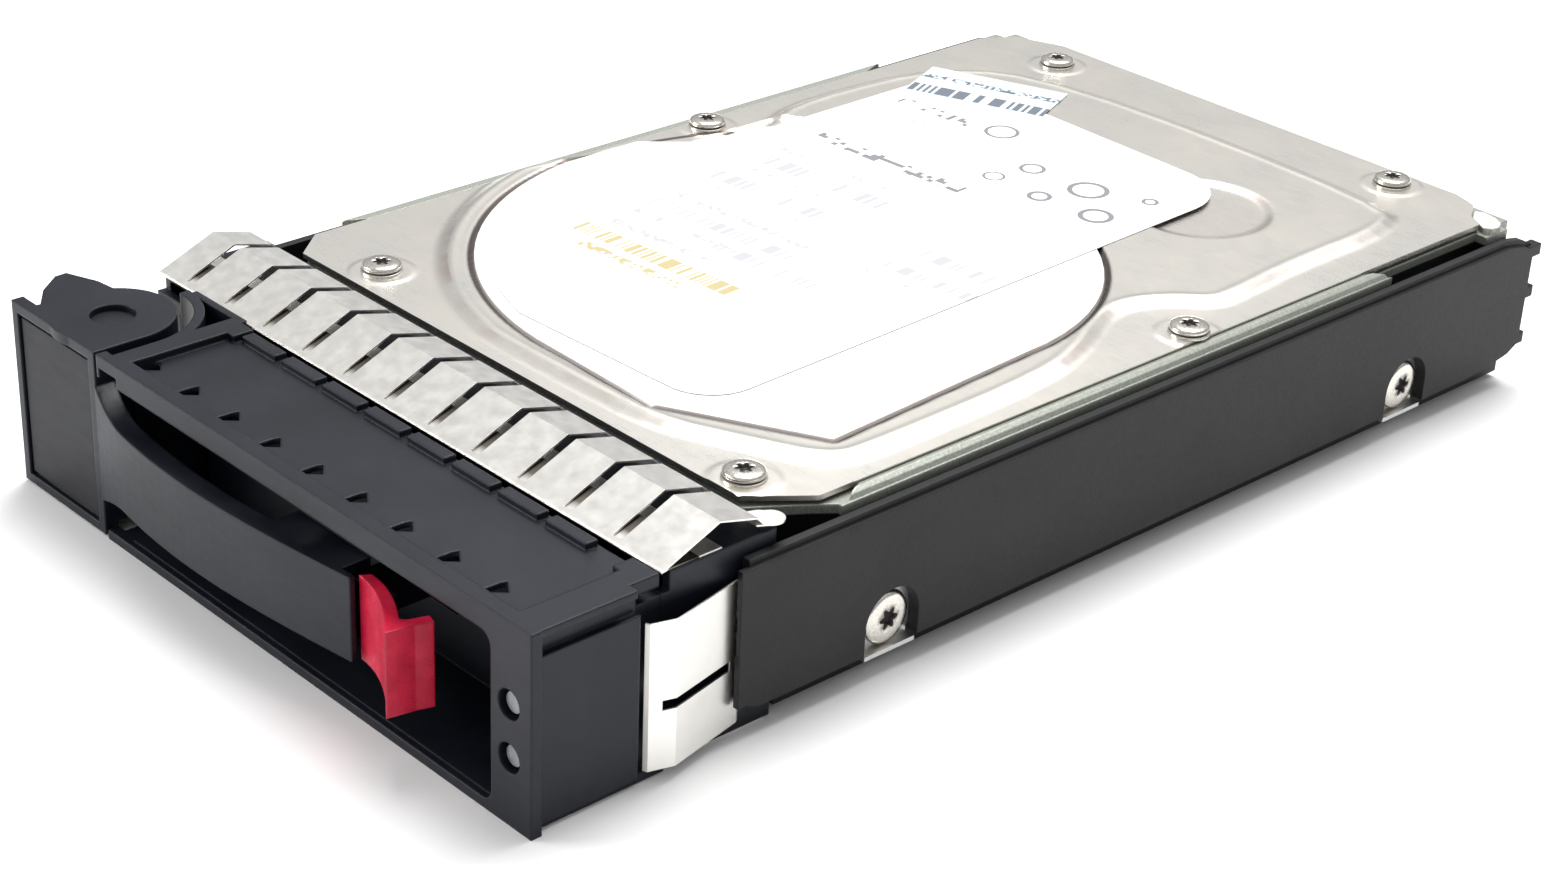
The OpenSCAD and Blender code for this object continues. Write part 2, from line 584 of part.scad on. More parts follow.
// Cast base: tray for the discs with bosses for all screws and a sunk face for the board
module base_casting() place() color(cast_grey) difference() {
  union() {
    block(-half_w, 0, z_bottom, half_w, drive_l - 2, wall_z);
    // Raised bands beside the cover
    translate([0, 116, 0]) rotate([90, 0, 0]) linear_extrude(105.2)
      polygon([[cover_half + 0.2, wall_z - 1], [half_w, wall_z - 1], [half_w, land_z - 1.7],
        [half_w - 0.5, land_z - 0.6], [cover_half + 0.8, land_z - 0.2], [cover_half + 0.2, land_z - 0.3]]);
    // The left one is level with the cover
    translate([0, 116, 0]) rotate([90, 0, 0]) linear_extrude(105.2)
      polygon([[-cover_half - 0.2, wall_z - 1], [-cover_half - 0.2, land_z - 0.1],
          [0.3 - half_w, land_z - 0.1],
        [-half_w, land_z - 0.4], [-half_w, wall_z - 1]]);
    // Machined corner post beside the cover's rear corner
    translate([0, 0, wall_z - 1]) linear_extrude(2) polygon([[49, 138.1], [49.6, 137.8], [50.6, 138.6],
      [half_w, 139.8], [50.2, 141.2], [48.6, 142.2], [46.4, 142.6], [45.2, 141.9], [46.5, 139.6]]);
  }
  // Chamber
  translate([0, 0, floor_top_z]) linear_extrude(30) chamber_2d();
  // Corner pocket of the recirculation filter
  translate([-38.5, 15.5, floor_top_z]) rotate(-45) translate([-4.2, -8, 0]) cube([8.4, 12, 30]);
  // Sunk face for the board, and the deeper well of its chips
  plate(-44.2, 58, 44.2, drive_l + 5, -1, floor_under_z - 1.4, 2);
  plate(-36, 92, 36, 128, -1, floor_under_z, 2);
  // Motor opening
  translate([0, spindle_y, -1]) cylinder(r = 10, h = 12);
  translate([0, spindle_y, z_bottom + 3.7]) cylinder(r = 10.4, h = 12);
  // Rear opening of the connector
  block(-4, drive_l - 9, -1, 40, drive_l + 2, z_bottom + 6.5);
  // Cover screws
  for (p = cover_screw_at) translate([p[0], p[1], wall_z - 7]) cylinder(r = 1.25, h = 20);
  // Board screws
  for (p = board_screw_at) translate([p[0], p[1], 0]) cylinder(r = 0.95, h = floor_under_z + 1.6);
  // Side and bottom threaded holes
  for (s = [-1, 1], y = side_hole_y) translate([s * half_w, y, side_hole_z]) rotate([0, -s * 90, 0])
    translate([0, 0, -1]) cylinder(r = six_thread_r, h = 5.4);
  for (x = [-bottom_hole_x, bottom_hole_x], y = bottom_hole_y) translate([x, y, 0])
    cylinder(r = six_thread_r, h = z_bottom + 4.4);
  // Pivot shaft
  translate([actuator[0], actuator[1], floor_top_z - 1.6]) cylinder(r = 3, h = 5);
  // Deep rebates beside the cover: its cut front corners, and the sides behind the raised bands
  for (s = [0, 1]) mirror([s, 0, 0]) {
    translate([0, 0, 14]) linear_extrude(20) {
      polygon([[43, -1], [60, -1], [60, 9.4], [50.2, 9.8], [48.3, 7.3]]);
      polygon([[48.9, 110.4], [51, 115.6], [60, 115.6], [60, 137.2], [48.9, 137.2]]);
      polygon([[48.9, 142.4], [60, 141.4], [60, 150], [48.9, 150]]);
    }
    translate([0, 0, wall_z]) linear_extrude(3)
      polygon([[48, 9], [52, 9], [52, 10.6], [50.7, 11.1], [49.9, 12.2], [49.3, 13.7], [48, 15.3]]);
  }
}

// Gasket under the cover's rim
module cover_gasket() place() color(black_rubber) translate([0, 0,
    wall_z]) linear_extrude(gasket_t) difference() {
  intersection() {
    chamber_2d(1.6);
    translate([-cover_half - 0.1, -10]) square([2 * cover_half + 0.2, drive_l + 20]);
  }
  chamber_2d(0.4);
  for (p = cover_screw_at) translate(p) circle(2);
}

// Raised plateau of the cover
plateau_r = 52.2;
module plateau_2d(inset = 0) {
  intersection() {
    polygon([[-48.3 + inset, 2 + inset], [23.6 - 0.4 * inset, 2 + inset],
        [45.8 - inset, 12.8 + 0.6 * inset],
      [45.8 - inset, 60], [41.6 - inset, 68], [38.6 - inset, 74.5], [40.4 - inset, 80.8],
          [44.6 - inset, 86],
      [43.6 - inset, 128], [38 - inset, 133 - inset], [-26, 133 - inset], [-44 + inset, 122 - inset],
      [-46.8 + inset, 90], [-42 + inset, 80], [-42 + inset, 69], [-48.3 + inset, 61]]);
    union() {
      translate(spindle) circle(plateau_r - inset, $fn = 96);
      translate([-60, spindle_y]) square([120, 100]);
      translate([0, -5]) square([60, 100]);
    }
  }
}

// Damper plate outline: disc-shaped at the left, a cut corner in front, a smaller arc at the right
module damper_2d(grow = 0) {
  intersection() {
    polygon(concat(arc(spindle, 47.2 + grow, 126, 266, 40), [[19.8 + 0.4 * grow, 6.8 - grow],
      [40.6 + grow, 18 - 0.6 * grow]], arc(spindle, 38.4 + grow, 0, 90, 16)));
    plateau_2d(1.6 - grow);
  }
}

// Stamped cover: land round the screws, raised plateau, groove round the damper and a round dimple
module top_cover() place() color(cover_metal) difference() {
  union() {
    translate([0, 0, land_z - cover_t]) linear_extrude(cover_t) polygon(cover_outline);
    translate([0, 0, plateau_z - cover_t]) linear_extrude(cover_t) plateau_2d();
    translate([0, 0, land_z - cover_t]) linear_extrude(plateau_z - land_z + cover_t - eps) difference() {
      plateau_2d();
      plateau_2d(0.8);
    }
    // Floor of the damper's recess
    translate([0, 0, plateau_z - 0.6 - cover_t]) linear_extrude(cover_t) damper_2d(0.8);
    translate([actuator[0], actuator[1], plateau_z - 0.5 - cover_t]) cylinder(r = 11, h = cover_t);
  }
  translate([0, 0, plateau_z - 0.6]) linear_extrude(5) damper_2d(0.7);
  translate([actuator[0], actuator[1], plateau_z - 0.5]) cylinder(r = 10.4, h = 5);
  // Hollow under the plateau
  translate([0, 0, land_z - cover_t - 1]) linear_extrude(plateau_z - land_z + 1) difference() {
    plateau_2d(1.2);
    damper_2d(1.6);
    translate(actuator) circle(11.6);
  }
  for (p = cover_screw_at) translate([p[0], p[1], 0]) cylinder(r = 1.5, h = 40);
  // Test slots at the rear
  for (x = [-24.8, -13.2], dx = [0, 2.4]) block(x + dx, 137.6, 20, x + dx + 1.3, 138.3, 40);
}

// Cover screws on their collars
module cover_screws() place() color(steel) for (p = cover_screw_at) translate([p[0], p[1], land_z]) {
  difference() {
    cylinder(r = cover_head_r - 0.1, h = 0.55);
    translate([0, 0, -1]) cylinder(r = 1.3, h = 3);
  }
  translate([0, 0, 0.55]) screw(cover_head_r, z_top - land_z - 0.55, 1.2, 6.4, 1.2);
}

module damper_plate() place() color([0.86, 0.85, 0.84]) translate([0, 0, plateau_z - 0.6])
  linear_extrude(0.6) damper_2d();

// Main label: a large sheet whose front left corner follows the disc
module main_label() place() color("white") translate([0, 0, plateau_z]) linear_extrude(0.12)
  polygon(concat(arc(spindle, 45.3, 212, 256.8, 14), arc([17.4, 18.6], 7, 278, 362, 8),
    arc([11.4, 107.6], 9.8, 2, 84, 8), arc([-33, 112.5], 5.8, 90, 180, 8)));

// Asset sticker at the rear left
module asset_sticker() place() color([0.78, 0.86, 0.90]) translate([0, 0, plateau_z + 0.12])
  linear_extrude(0.08) polygon([[-38, 108], [-16.7, 116.4], [-20.9, 127], [-42.2, 118.6]]);

// ---------------------------------------------------------------- spindle motor and discs

module at_spindle(z) place() translate([spindle[0], spindle[1], z]) children();

// Fixed shaft on its flange
module spindle_shaft() color(steel) at_spindle(0) {
  translate([0, 0, z_bottom + 0.6]) cylinder(r = 10, h = 2.7);
  translate([0, 0, z_bottom + 3]) cylinder(r = 2.5, h = wall_z - z_bottom - 4);
}

// Stator: nine-slot laminated core
slot_count = 9;
stator_z = z_bottom + 3.8;
stator_h = 2.6;
module stator_core() color([0.45, 0.46, 0.48]) at_spindle(stator_z) linear_extrude(stator_h) {
  difference() {
    circle(5);
    circle(3.1);
  }
  for (i = [0:slot_count - 1]) rotate(360 * i / slot_count) {
    translate([4.6, -0.5]) square([3.2, 1]);
    fan([0, 0], 7.6, 8.4, -15, 15);
  }
}

// Copper windings round the teeth
module stator_coils() color(copper) at_spindle(stator_z - 0.4)
  for (i = [0:slot_count - 1]) rotate(360 * i / slot_count) difference() {
    translate([5.3, -1.05, 0]) cube([1.9, 2.1, stator_h + 0.8]);
    translate([5, -0.5, 0.4]) cube([3, 1, stator_h]);
  }

// Rotating hub: a cup over the stator with a flange that carries the discs
hub_top_z = first_disc_z + (disc_count - 1) * disc_pitch + disc_t / 2 + 0.1;
module spindle_hub() color([0.80, 0.80, 0.82]) at_spindle(0) difference() {
  union() {
    translate([0, 0, floor_top_z + 0.6]) cylinder(r = hub_r + 2.6,
        h = first_disc_z - disc_t / 2 - floor_top_z - 0.6);
    translate([0, 0, floor_top_z + 0.6]) cylinder(r = hub_r, h = hub_top_z - floor_top_z - 0.6);
  }
  translate([0, 0, floor_top_z - 1]) cylinder(r = 9.9, h = 2.6);
  translate([0, 0, 0]) cylinder(r = 2.55, h = 40);
  for (i = [0:5]) rotate(60 * i) translate([8, 0, hub_top_z - 4]) cylinder(r = 1, h = 6);
}

// Magnet ring inside the hub's cup
module rotor_magnet() color([0.30, 0.30, 0.32]) at_spindle(floor_under_z + 1.2) difference() {
  cylinder(r = 9.9, h = floor_top_z + 1.6 - floor_under_z - 1.2);
  translate([0, 0, -1]) cylinder(r = 8.75, h = 9);
}

module discs() color(mirror_disc) for (i = [0:disc_count - 1])
  at_spindle(first_disc_z + i * disc_pitch - disc_t / 2) difference() {
    cylinder(r = disc_r, h = disc_t, $fn = 96);
    translate([0, 0, -1]) cylinder(r = hub_r + 0.05, h = disc_t + 2);
  }

module spacer_rings() color([0.72, 0.72, 0.74]) for (i = [0:disc_count - 2])
  at_spindle(first_disc_z + i * disc_pitch + disc_t / 2) difference() {
    cylinder(r = 15.4, h = disc_pitch - disc_t);
    translate([0, 0, -1]) cylinder(r = hub_r + 0.05, h = 6);
  }

// Disc clamp: a shallow dished ring pulled down by six screws
clamp_z = first_disc_z + (disc_count - 1) * disc_pitch + disc_t / 2;
module disc_clamp() color([0.78, 0.78, 0.80]) at_spindle(clamp_z) difference() {
  union() {
    difference() {
      cylinder(r = clamp_r, h = 1);
      translate([0, 0, -1]) cylinder(r = 13.2, h = 1.15);
    }
    translate([0, 0, 0.15]) cylinder(r = 13, h = 0.85);
  }
  translate([0, 0, -1]) cylinder(r = 4.5, h = 4);
  for (i = [0:5]) rotate(60 * i) translate([8, 0, -1]) cylinder(r = 1.1, h = 4);
}

module clamp_screws() color(steel) for (i = [0:5]) at_spindle(clamp_z + 1)
  rotate(60 * i) translate([8, 0, 0]) screw(1.9, 0.8, 0.95, 3.6, 0.8);

// ---------------------------------------------------------------- actuator

module at_actuator(z) place() translate([actuator[0], actuator[1], z]) children();

arm_zs = [for (i = [0:disc_count]) first_disc_z - disc_pitch / 2 + i * disc_pitch];
block_z0 = floor_top_z + 0.7;
block_z1 = arm_zs[disc_count] + 0.9;

module pivot_shaft() color(steel) at_actuator(floor_top_z - 1.6)
  cylinder(r = 2.95, h = wall_z - floor_top_z + 1.4);

// Bearing cartridge, pressed in the arm block
module pivot_bearing() color([0.70, 0.71, 0.73]) at_actuator(block_z0 - 0.3) difference() {
  cylinder(r = 4.9, h = block_z1 - block_z0 + 0.6);
  translate([0, 0, -1]) cylinder(r = 3, h = 30);
}

// Arm block: round body, one tapered arm above and below each disc, and the fork that holds the coil
module arm_block() color([0.74, 0.75, 0.77]) difference() {
  union() {
    at_actuator(block_z0) cylinder(r = block_r, h = block_z1 - block_z0);
    for (z = arm_zs) at_actuator(z - arm_t / 2) rotate(park_deg) linear_extrude(arm_t) difference() {
      polygon([[0, -6.4], [36, -2.6], [38, -2], [38, 2], [36, 2.6], [0, 6.4]]);
      polygon([[13, -2.4], [27, -1.2], [27, 1.2], [13, 2.4]]);
    }
    at_actuator(coil_z - coil_t / 2) linear_extrude(coil_t) {
      fan([0, 0], 5, coil_in_r - 1.6, coil_deg - coil_half_deg, coil_deg + coil_half_deg);
      for (s = [-1, 1]) rotate(coil_deg + s * (coil_half_deg - 2.2)) translate([5, -0.9]) square([15, 1.8]);
    }
  }
  at_actuator(0) cylinder(r = 4.9, h = 40);
}

module voice_coil() color(copper) at_actuator(coil_z - coil_t / 2) linear_extrude(coil_t) difference() {
  fan([0, 0], coil_in_r - 1.5, coil_out_r, coil_deg - coil_half_deg + 7.4, coil_deg + coil_half_deg - 7.4);
  fan([0, 0], coil_in_r + 2.2, coil_out_r - 3.4, coil_deg - 9, coil_deg + 9);
}

// Suspension springs and head sliders: up = +1 reads the disc above the arm, -1 the disc below
slider_t = 0.5;
spring_t = 0.2;
heads = [for (i = [0:disc_count]) each concat(i < disc_count ? [[arm_zs[i], 1]] : [],
    i > 0 ? [[arm_zs[i], -1]] : [])];

module suspensions() color(steel) for (h = heads)
  at_actuator(h[0] + h[1] * (arm_t + spring_t) / 2 - spring_t / 2) rotate(park_deg) linear_extrude(spring_t) {
    polygon([[33, -2], [38, -2], [arm_len + 0.8, -0.6], [arm_len + 2.6, -0.4], [arm_len + 2.6, 0.4],
      [arm_len + 0.8, 0.6], [38, 2], [33, 2]]);
  }

module head_sliders() color([0.15, 0.15, 0.17]) for (h = heads)
  at_actuator(h[0] + h[1] * (arm_t / 2 + spring_t + slider_t / 2)) rotate(park_deg)
    translate([arm_len, 0, 0]) cube([1.2, 0.9, slider_t], center = true);

// Voice coil motor: steel yokes, magnets and the posts between them
yoke_a0 = coil_deg - coil_half_deg - 2;
yoke_a1 = coil_deg + coil_half_deg + swing_deg + 2;
yoke_r0 = 10.6;
yoke_r1 = coil_out_r + 1.6;
lower_yoke_z = floor_top_z;
lower_magnet_z = lower_yoke_z + yoke_t;
upper_magnet_z = coil_z + coil_t / 2 + 0.9;
upper_yoke_z = upper_magnet_z + magnet_t;

module yoke(z) color([0.66, 0.67, 0.69]) at_actuator(z) linear_extrude(yoke_t)
  fan([0, 0], yoke_r0, yoke_r1, yoke_a0, yoke_a1);
module lower_yoke() yoke(lower_yoke_z);
module upper_yoke() yoke(upper_yoke_z);
module magnet(z) color([0.58, 0.58, 0.60]) at_actuator(z) linear_extrude(magnet_t)
  fan([0, 0], yoke_r0 + 1, coil_out_r - 1, yoke_a0 + 6, yoke_a1 - 6);
module lower_magnet() magnet(lower_magnet_z);
module upper_magnet() magnet(upper_magnet_z);

module yoke_posts() color(steel) for (a = [yoke_a0 + 12, yoke_a1 - 12]) {
  at_actuator(0) translate([(yoke_r1 - 0.6) * cos(a), (yoke_r1 - 0.6) * sin(a), lower_magnet_z])
    cylinder(r = 0.55, h = upper_yoke_z - lower_magnet_z);
}

// Parking ramp: comb that holds the suspension tabs off the discs
module parking_ramp() color([0.90, 0.90, 0.86]) at_actuator(0) rotate(park_deg) {
  tab_r = arm_len + 1.7;
  difference() {
    translate([tab_r - 0.6, -2.6, arm_zs[0] - 1.4]) cube([5.4, 4.2, arm_zs[disc_count] - arm_zs[0] + 2.8]);
    for (z = arm_zs) translate([tab_r - 1.6, -4, z - 1.1]) cube([3.2, 8, 2.2]);
  }
  // Foot screwed to the floor
  translate([tab_r + 1.6, -2.6, floor_top_z]) cube([3.2, 4.2, arm_zs[0] - 1.3 - floor_top_z]);
}

// Rubber crash stops at both ends of the swing
module crash_stops() color(black_rubber)
  for (a = [coil_deg - coil_half_deg - 6.5, coil_deg + coil_half_deg + swing_deg + 6.5])
    at_actuator(0) translate([16 * cos(a), 16 * sin(a), floor_top_z]) cylinder(r = 1, h = 11);

// Flex bracket screwed to the floor, and the ribbon to the arm block
bracket_at = [-14, 124];
module flex_bracket() color([0.62, 0.63, 0.64]) place() {
  block(bracket_at[0] - 11, bracket_at[1] - 3, floor_top_z, bracket_at[0] + 11, bracket_at[1] + 5,
      floor_top_z + 1.6);
  block(bracket_at[0] + 8, bracket_at[1] - 3, floor_top_z + 1.5, bracket_at[0] + 9.4, bracket_at[1] + 5,
      floor_top_z + 13);
}
module flex_cable() color([0.72, 0.48, 0.14]) place() translate([0, 0, floor_top_z + 3]) linear_extrude(8)
  polygon(band([[bracket_at[0] + 9.75, bracket_at[1] + 4], [bracket_at[0] + 9.7, bracket_at[1] - 5],
      [0, 121], [6, 119.4],
    [12, 118], polar(actuator, block_r + 0.45, 120)], 0.25));

module recirculation_filter() color([0.93, 0.93, 0.90]) place() translate([-38.5, 15.5,
    floor_top_z]) rotate(-45)
  translate([-3.8, -7.6, 0]) cube([7.6, 2.6, 12]);

module breather_filter() color([0.20, 0.20, 0.22]) place()
  translate([-30, 122, plateau_z - cover_t - 3.2]) cylinder(r = 5.5, h = 3.2);

// ---------------------------------------------------------------- electronics

board_z = z_bottom + 0.5;
board_t = 1.1;
board_screw_at = [[-40, 64], [40, 64], [-40, 138], [-16, 136], [42, 100]];
module circuit_board() color(board_green) place() difference() {
  union() {
    plate(-43.8, 60, 43.8, 143.5, board_z, board_z + board_t, 1.5);
    block(-3, 142, board_z, 39, drive_l - 3, board_z + board_t);
  }
  translate([0, spindle_y, 0]) cylinder(r = 14, h = 9);
  for (p = board_screw_at) translate([p[0], p[1], 0]) cylinder(r = 1.2, h = 9);
}

chips = [[-22, 98, 13, 13], [4, 102, 11, 9], [22, 100, 9, 9], [-30, 117, 8, 5], [-8, 116, 7, 7],
    [14, 118, 10, 5]];
module board_chips() color([0.10, 0.10, 0.11]) place()
  for (c = chips) block(c[0], c[1], board_z + board_t, c[0] + c[2], c[1] + c[3], board_z + board_t + 1.1);

// Foam sheet between the board and the casting, open over the chips
module board_insulator() color([0.30, 0.32, 0.34]) place() difference() {
  plate(-43, 72, 43, 134, board_z + board_t, board_z + board_t + 0.1, 1);
  plate(-36, 92, 36, 128, 0, 9, 1);
  for (p = board_screw_at) translate([p[0], p[1], 0]) cylinder(r = 3, h = 9);
}

// Host connector: power and data blades in one shroud
connector_x = half_w - 33.39;
module host_connector() color(black_rubber) place() difference() {
  block(connector_x - 21, drive_l - 8.8, board_z + board_t, connector_x + 21, drive_l,
      board_z + board_t + 4.6);
  block(connector_x - 19.6, drive_l - 5.6, board_z + board_t + 1.2, connector_x + 2.6, drive_l + 1,
      board_z + board_t + 3.4);
  block(connector_x + 5.4, drive_l - 5.6, board_z + board_t + 1.2, connector_x + 19.6, drive_l + 1,
      board_z + board_t + 3.4);
}

module board_screws() color(steel) place() for (p = board_screw_at) translate([p[0], p[1], board_z])
  mirror([0, 0, 1]) screw(1.9, 0.45, 0.9, 3.4, 0.7);

bezel();
shield_neck();
left_rail();
right_rail();
carrier_frame();
side_screws();
emi_top_fingers();
emi_left_panel();
emi_right_panel();
emi_bottom_panel();
light_pipe_upper();
light_pipe_lower();
lever();
label_plate();
lever_pivot_pin();
lever_spring();
release_button();
release_latch();
button_spring();
base_casting();
cover_gasket();
top_cover();
cover_screws();
damper_plate();
main_label();
asset_sticker();
spindle_shaft();
stator_core();
stator_coils();
spindle_hub();
rotor_magnet();
discs();
spacer_rings();
disc_clamp();
clamp_screws();
pivot_shaft();
pivot_bearing();
arm_block();
voice_coil();
suspensions();
head_sliders();
lower_yoke();
upper_yoke();
lower_magnet();
upper_magnet();
yoke_posts();
parking_ramp();
crash_stops();
flex_bracket();
flex_cable();
recirculation_filter();
breather_filter();
circuit_board();
board_chips();
host_connector();
board_screws();
board_insulator();
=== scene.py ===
import math

import bpy
import numpy as np
from mathutils import Matrix, Vector


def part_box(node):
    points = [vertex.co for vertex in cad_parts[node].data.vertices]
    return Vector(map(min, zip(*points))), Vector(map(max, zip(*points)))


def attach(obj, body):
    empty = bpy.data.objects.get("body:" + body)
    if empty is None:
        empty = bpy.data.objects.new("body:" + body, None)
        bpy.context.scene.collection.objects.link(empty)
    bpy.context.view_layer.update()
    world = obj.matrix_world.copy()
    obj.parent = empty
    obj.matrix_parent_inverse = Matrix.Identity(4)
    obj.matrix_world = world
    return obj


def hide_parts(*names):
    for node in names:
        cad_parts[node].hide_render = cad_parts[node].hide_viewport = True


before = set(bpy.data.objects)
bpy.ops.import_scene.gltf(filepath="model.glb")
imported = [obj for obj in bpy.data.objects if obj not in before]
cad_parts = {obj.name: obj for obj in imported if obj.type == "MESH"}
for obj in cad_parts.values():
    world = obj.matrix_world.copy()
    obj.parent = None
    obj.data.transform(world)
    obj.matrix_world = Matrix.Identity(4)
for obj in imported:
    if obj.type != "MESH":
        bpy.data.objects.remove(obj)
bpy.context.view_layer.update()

# ---------------------------------------------------------------- studio
# A plain pale floor under the carrier, a white room round it, one broad soft lamp overhead and a
# weaker one at the left. The room darkens towards the horizon, which gives the bright metal its shape.
cast_low, cast_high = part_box("base_casting")
drive_x = (cast_low[0] + cast_high[0]) / 2
drive_y = cast_low[1]


class Wire:
    """One socket of a material. Operators on wires add Math nodes, so a sum is written as a sum."""

    def __init__(self, tree, socket):
        self.tree, self.socket = tree, socket

    def math(self, operation, *others):
        node = self.tree.nodes.new("ShaderNodeMath")
        node.operation = operation
        for slot, value in zip(node.inputs, (self,) + others):
            if isinstance(value, Wire):
                self.tree.links.new(value.socket, slot)
            else:
                slot.default_value = value
        return Wire(self.tree, node.outputs[0])

    def flipped(self, operation, other):
        node = self.math(operation, self)
        maths = node.socket.node
        self.tree.links.remove(maths.inputs[0].links[0])
        maths.inputs[0].default_value = other
        return node

    def __add__(self, o):
        return self.math("ADD", o)

    __radd__ = __add__

    def __mul__(self, o):
        return self.math("MULTIPLY", o)

    __rmul__ = __mul__

    def __sub__(self, o):
        return self.math("SUBTRACT", o)

    def __rsub__(self, o):
        return self.flipped("SUBTRACT", o)

    def __truediv__(self, o):
        return self.math("DIVIDE", o)

    def __gt__(self, o):
        return self.math("GREATER_THAN", o)

    def __lt__(self, o):
        return self.math("LESS_THAN", o)

    def __pow__(self, o):
        return self.math("POWER", o)

    def floor(self):
        return self.math("FLOOR")

    def abs(self):
        return self.math("ABSOLUTE")

    def max(self, o):
        return self.math("MAXIMUM", o)

    def min(self, o):
        return self.math("MINIMUM", o)

    def within(self, low, high):
        return (self > low) * (self < high)

    def ramp(self, low, high, to_low=0.0, to_high=1.0):
        """The value between low and high, stretched to run from to_low to to_high and held outside."""
        node = self.tree.nodes.new("ShaderNodeMapRange")
        self.tree.links.new(self.socket, node.inputs["Value"])
        for name, value in (("From Min", low), ("From Max", high), ("To Min", to_low), ("To Max", to_high)):
            node.inputs[name].default_value = value
        return Wire(self.tree, node.outputs[0])


class Finish:
    """A material with one Principled shader. add() makes any node; set() fills the shader's sockets."""

    def __init__(self, name):
        self.material = bpy.data.materials.new(name)
        self.material.use_nodes = True
        self.tree = self.material.node_tree
        self.shader = self.tree.nodes["Principled BSDF"]

    def add(self, kind, settings=None, out=0, **sockets):
        node = self.tree.nodes.new(kind)
        for key, value in (settings or {}).items():
            setattr(node, key, value)
        for key, value in sockets.items():
            slot = node.inputs[key.replace("_", " ")]
            if isinstance(value, Wire):
                self.tree.links.new(value.socket, slot)
            else:
                slot.default_value = value
        return Wire(self.tree, node.outputs[out])

    def place(self):
        """Object coordinates in millimetres, measured from the drive's front wall on its centre plane."""
        here = self.add("ShaderNodeTexCoord", out=3)
        moved = [-drive_x * 1000, -drive_y * 1000, 0.0]
        return self.add("ShaderNodeMapping", Vector=here, Scale=(1000, 1000, 1000), Location=moved)

    def axes(self, vector):
        split = self.add("ShaderNodeSeparateXYZ", Vector=vector).socket.node
        return [Wire(self.tree, s) for s in split.outputs]

    def noise(self, vector, scale, detail=3.0, roughness=0.5):
        return self.add("ShaderNodeTexNoise", Vector=vector, Scale=scale, Detail=detail, Roughness=roughness)

    def mix(self, factor, low, high):
        """Colour that goes from low to high as factor goes from 0 to 1."""
        node = self.tree.nodes.new("ShaderNodeMix")
        node.data_type = "RGBA"
        for slot, value in ((node.inputs[0], factor), (node.inputs[6], low), (node.inputs[7], high)):
            if isinstance(value, Wire):
                self.tree.links.new(value.socket, slot)
            else:
                slot.default_value = (*value, 1.0)
        return Wire(self.tree, node.outputs[2])

    def rounded(self, radius_mm, height, strength, distance_mm):
        """Normal with its edges softened over radius_mm, and a bump of the given height on top."""
        soft = self.add("ShaderNodeBevel", {"samples": 6}, Radius=radius_mm / 1000)
        return self.add("ShaderNodeBump", Height=height, Normal=soft, Strength=strength,
                        Distance=distance_mm / 1000)

    def set(self, **sockets):
        for key, value in sockets.items():
            slot = self.shader.inputs[key.replace("_", " ")]
            if isinstance(value, Wire):
                self.tree.links.new(value.socket, slot)
            else:
                slot.default_value = value
        return self.material


floor_mesh = bpy.data.meshes.new("studio_floor")
floor_mesh.from_pydata([(-6, -6, 0), (6, -6, 0), (6, 6, 0), (-6, 6, 0)], [], [(0, 1, 2, 3)])
floor = bpy.data.objects.new("studio_floor", floor_mesh)
bpy.context.scene.collection.objects.link(floor)
paper = Finish("studio_paper")
paper_grain = paper.noise(paper.add("ShaderNodeTexCoord", out=3), 40.0)
floor_mesh.materials.append(paper.set(Base_Color=paper.mix(paper_grain, (0.90, 0.90, 0.90),
                                                           (0.94, 0.94, 0.94)),
                                      Roughness=0.9, Specular_IOR_Level=0.1))

world = bpy.data.worlds.new("studio_room")
bpy.context.scene.world = world
world.use_nodes = True
room = world.node_tree
sky = room.nodes.new("ShaderNodeTexCoord")
up_axis = room.nodes.new("ShaderNodeSeparateXYZ")
fade = room.nodes.new("ShaderNodeValToRGB")
fade.color_ramp.elements[0].position, fade.color_ramp.elements[0].color = 0.0, (0.42, 0.43, 0.45, 1)
fade.color_ramp.elements[1].position, fade.color_ramp.elements[1].color = 0.55, (1.0, 1.0, 1.0, 1)
room.links.new(sky.outputs["Generated"], up_axis.inputs[0])
room.links.new(up_axis.outputs["Z"], fade.inputs[0])
room.links.new(fade.outputs[0], room.nodes["Background"].inputs[0])
room.nodes["Background"].inputs[1].default_value = 0.62


def soft_lamp(name, place, size, power):
    """A square lamp of the given size in metres that faces the drive."""
    lamp = bpy.data.objects.new(name, bpy.data.lights.new(name, "AREA"))
    lamp.data.shape, lamp.data.size, lamp.data.energy = "SQUARE", size, power
    lamp.location = place
    lamp.rotation_mode = "QUATERNION"
    lamp.rotation_quaternion = (Vector((0, 0, 0)) - Vector(place)).to_track_quat("-Z", "Y")
    bpy.context.scene.collection.objects.link(lamp)


soft_lamp("overhead_lamp", (-0.15, 0.35, 1.0), 0.7, 15.0)
soft_lamp("left_lamp", (-0.75, -0.8, 0.5), 0.5, 7.0)

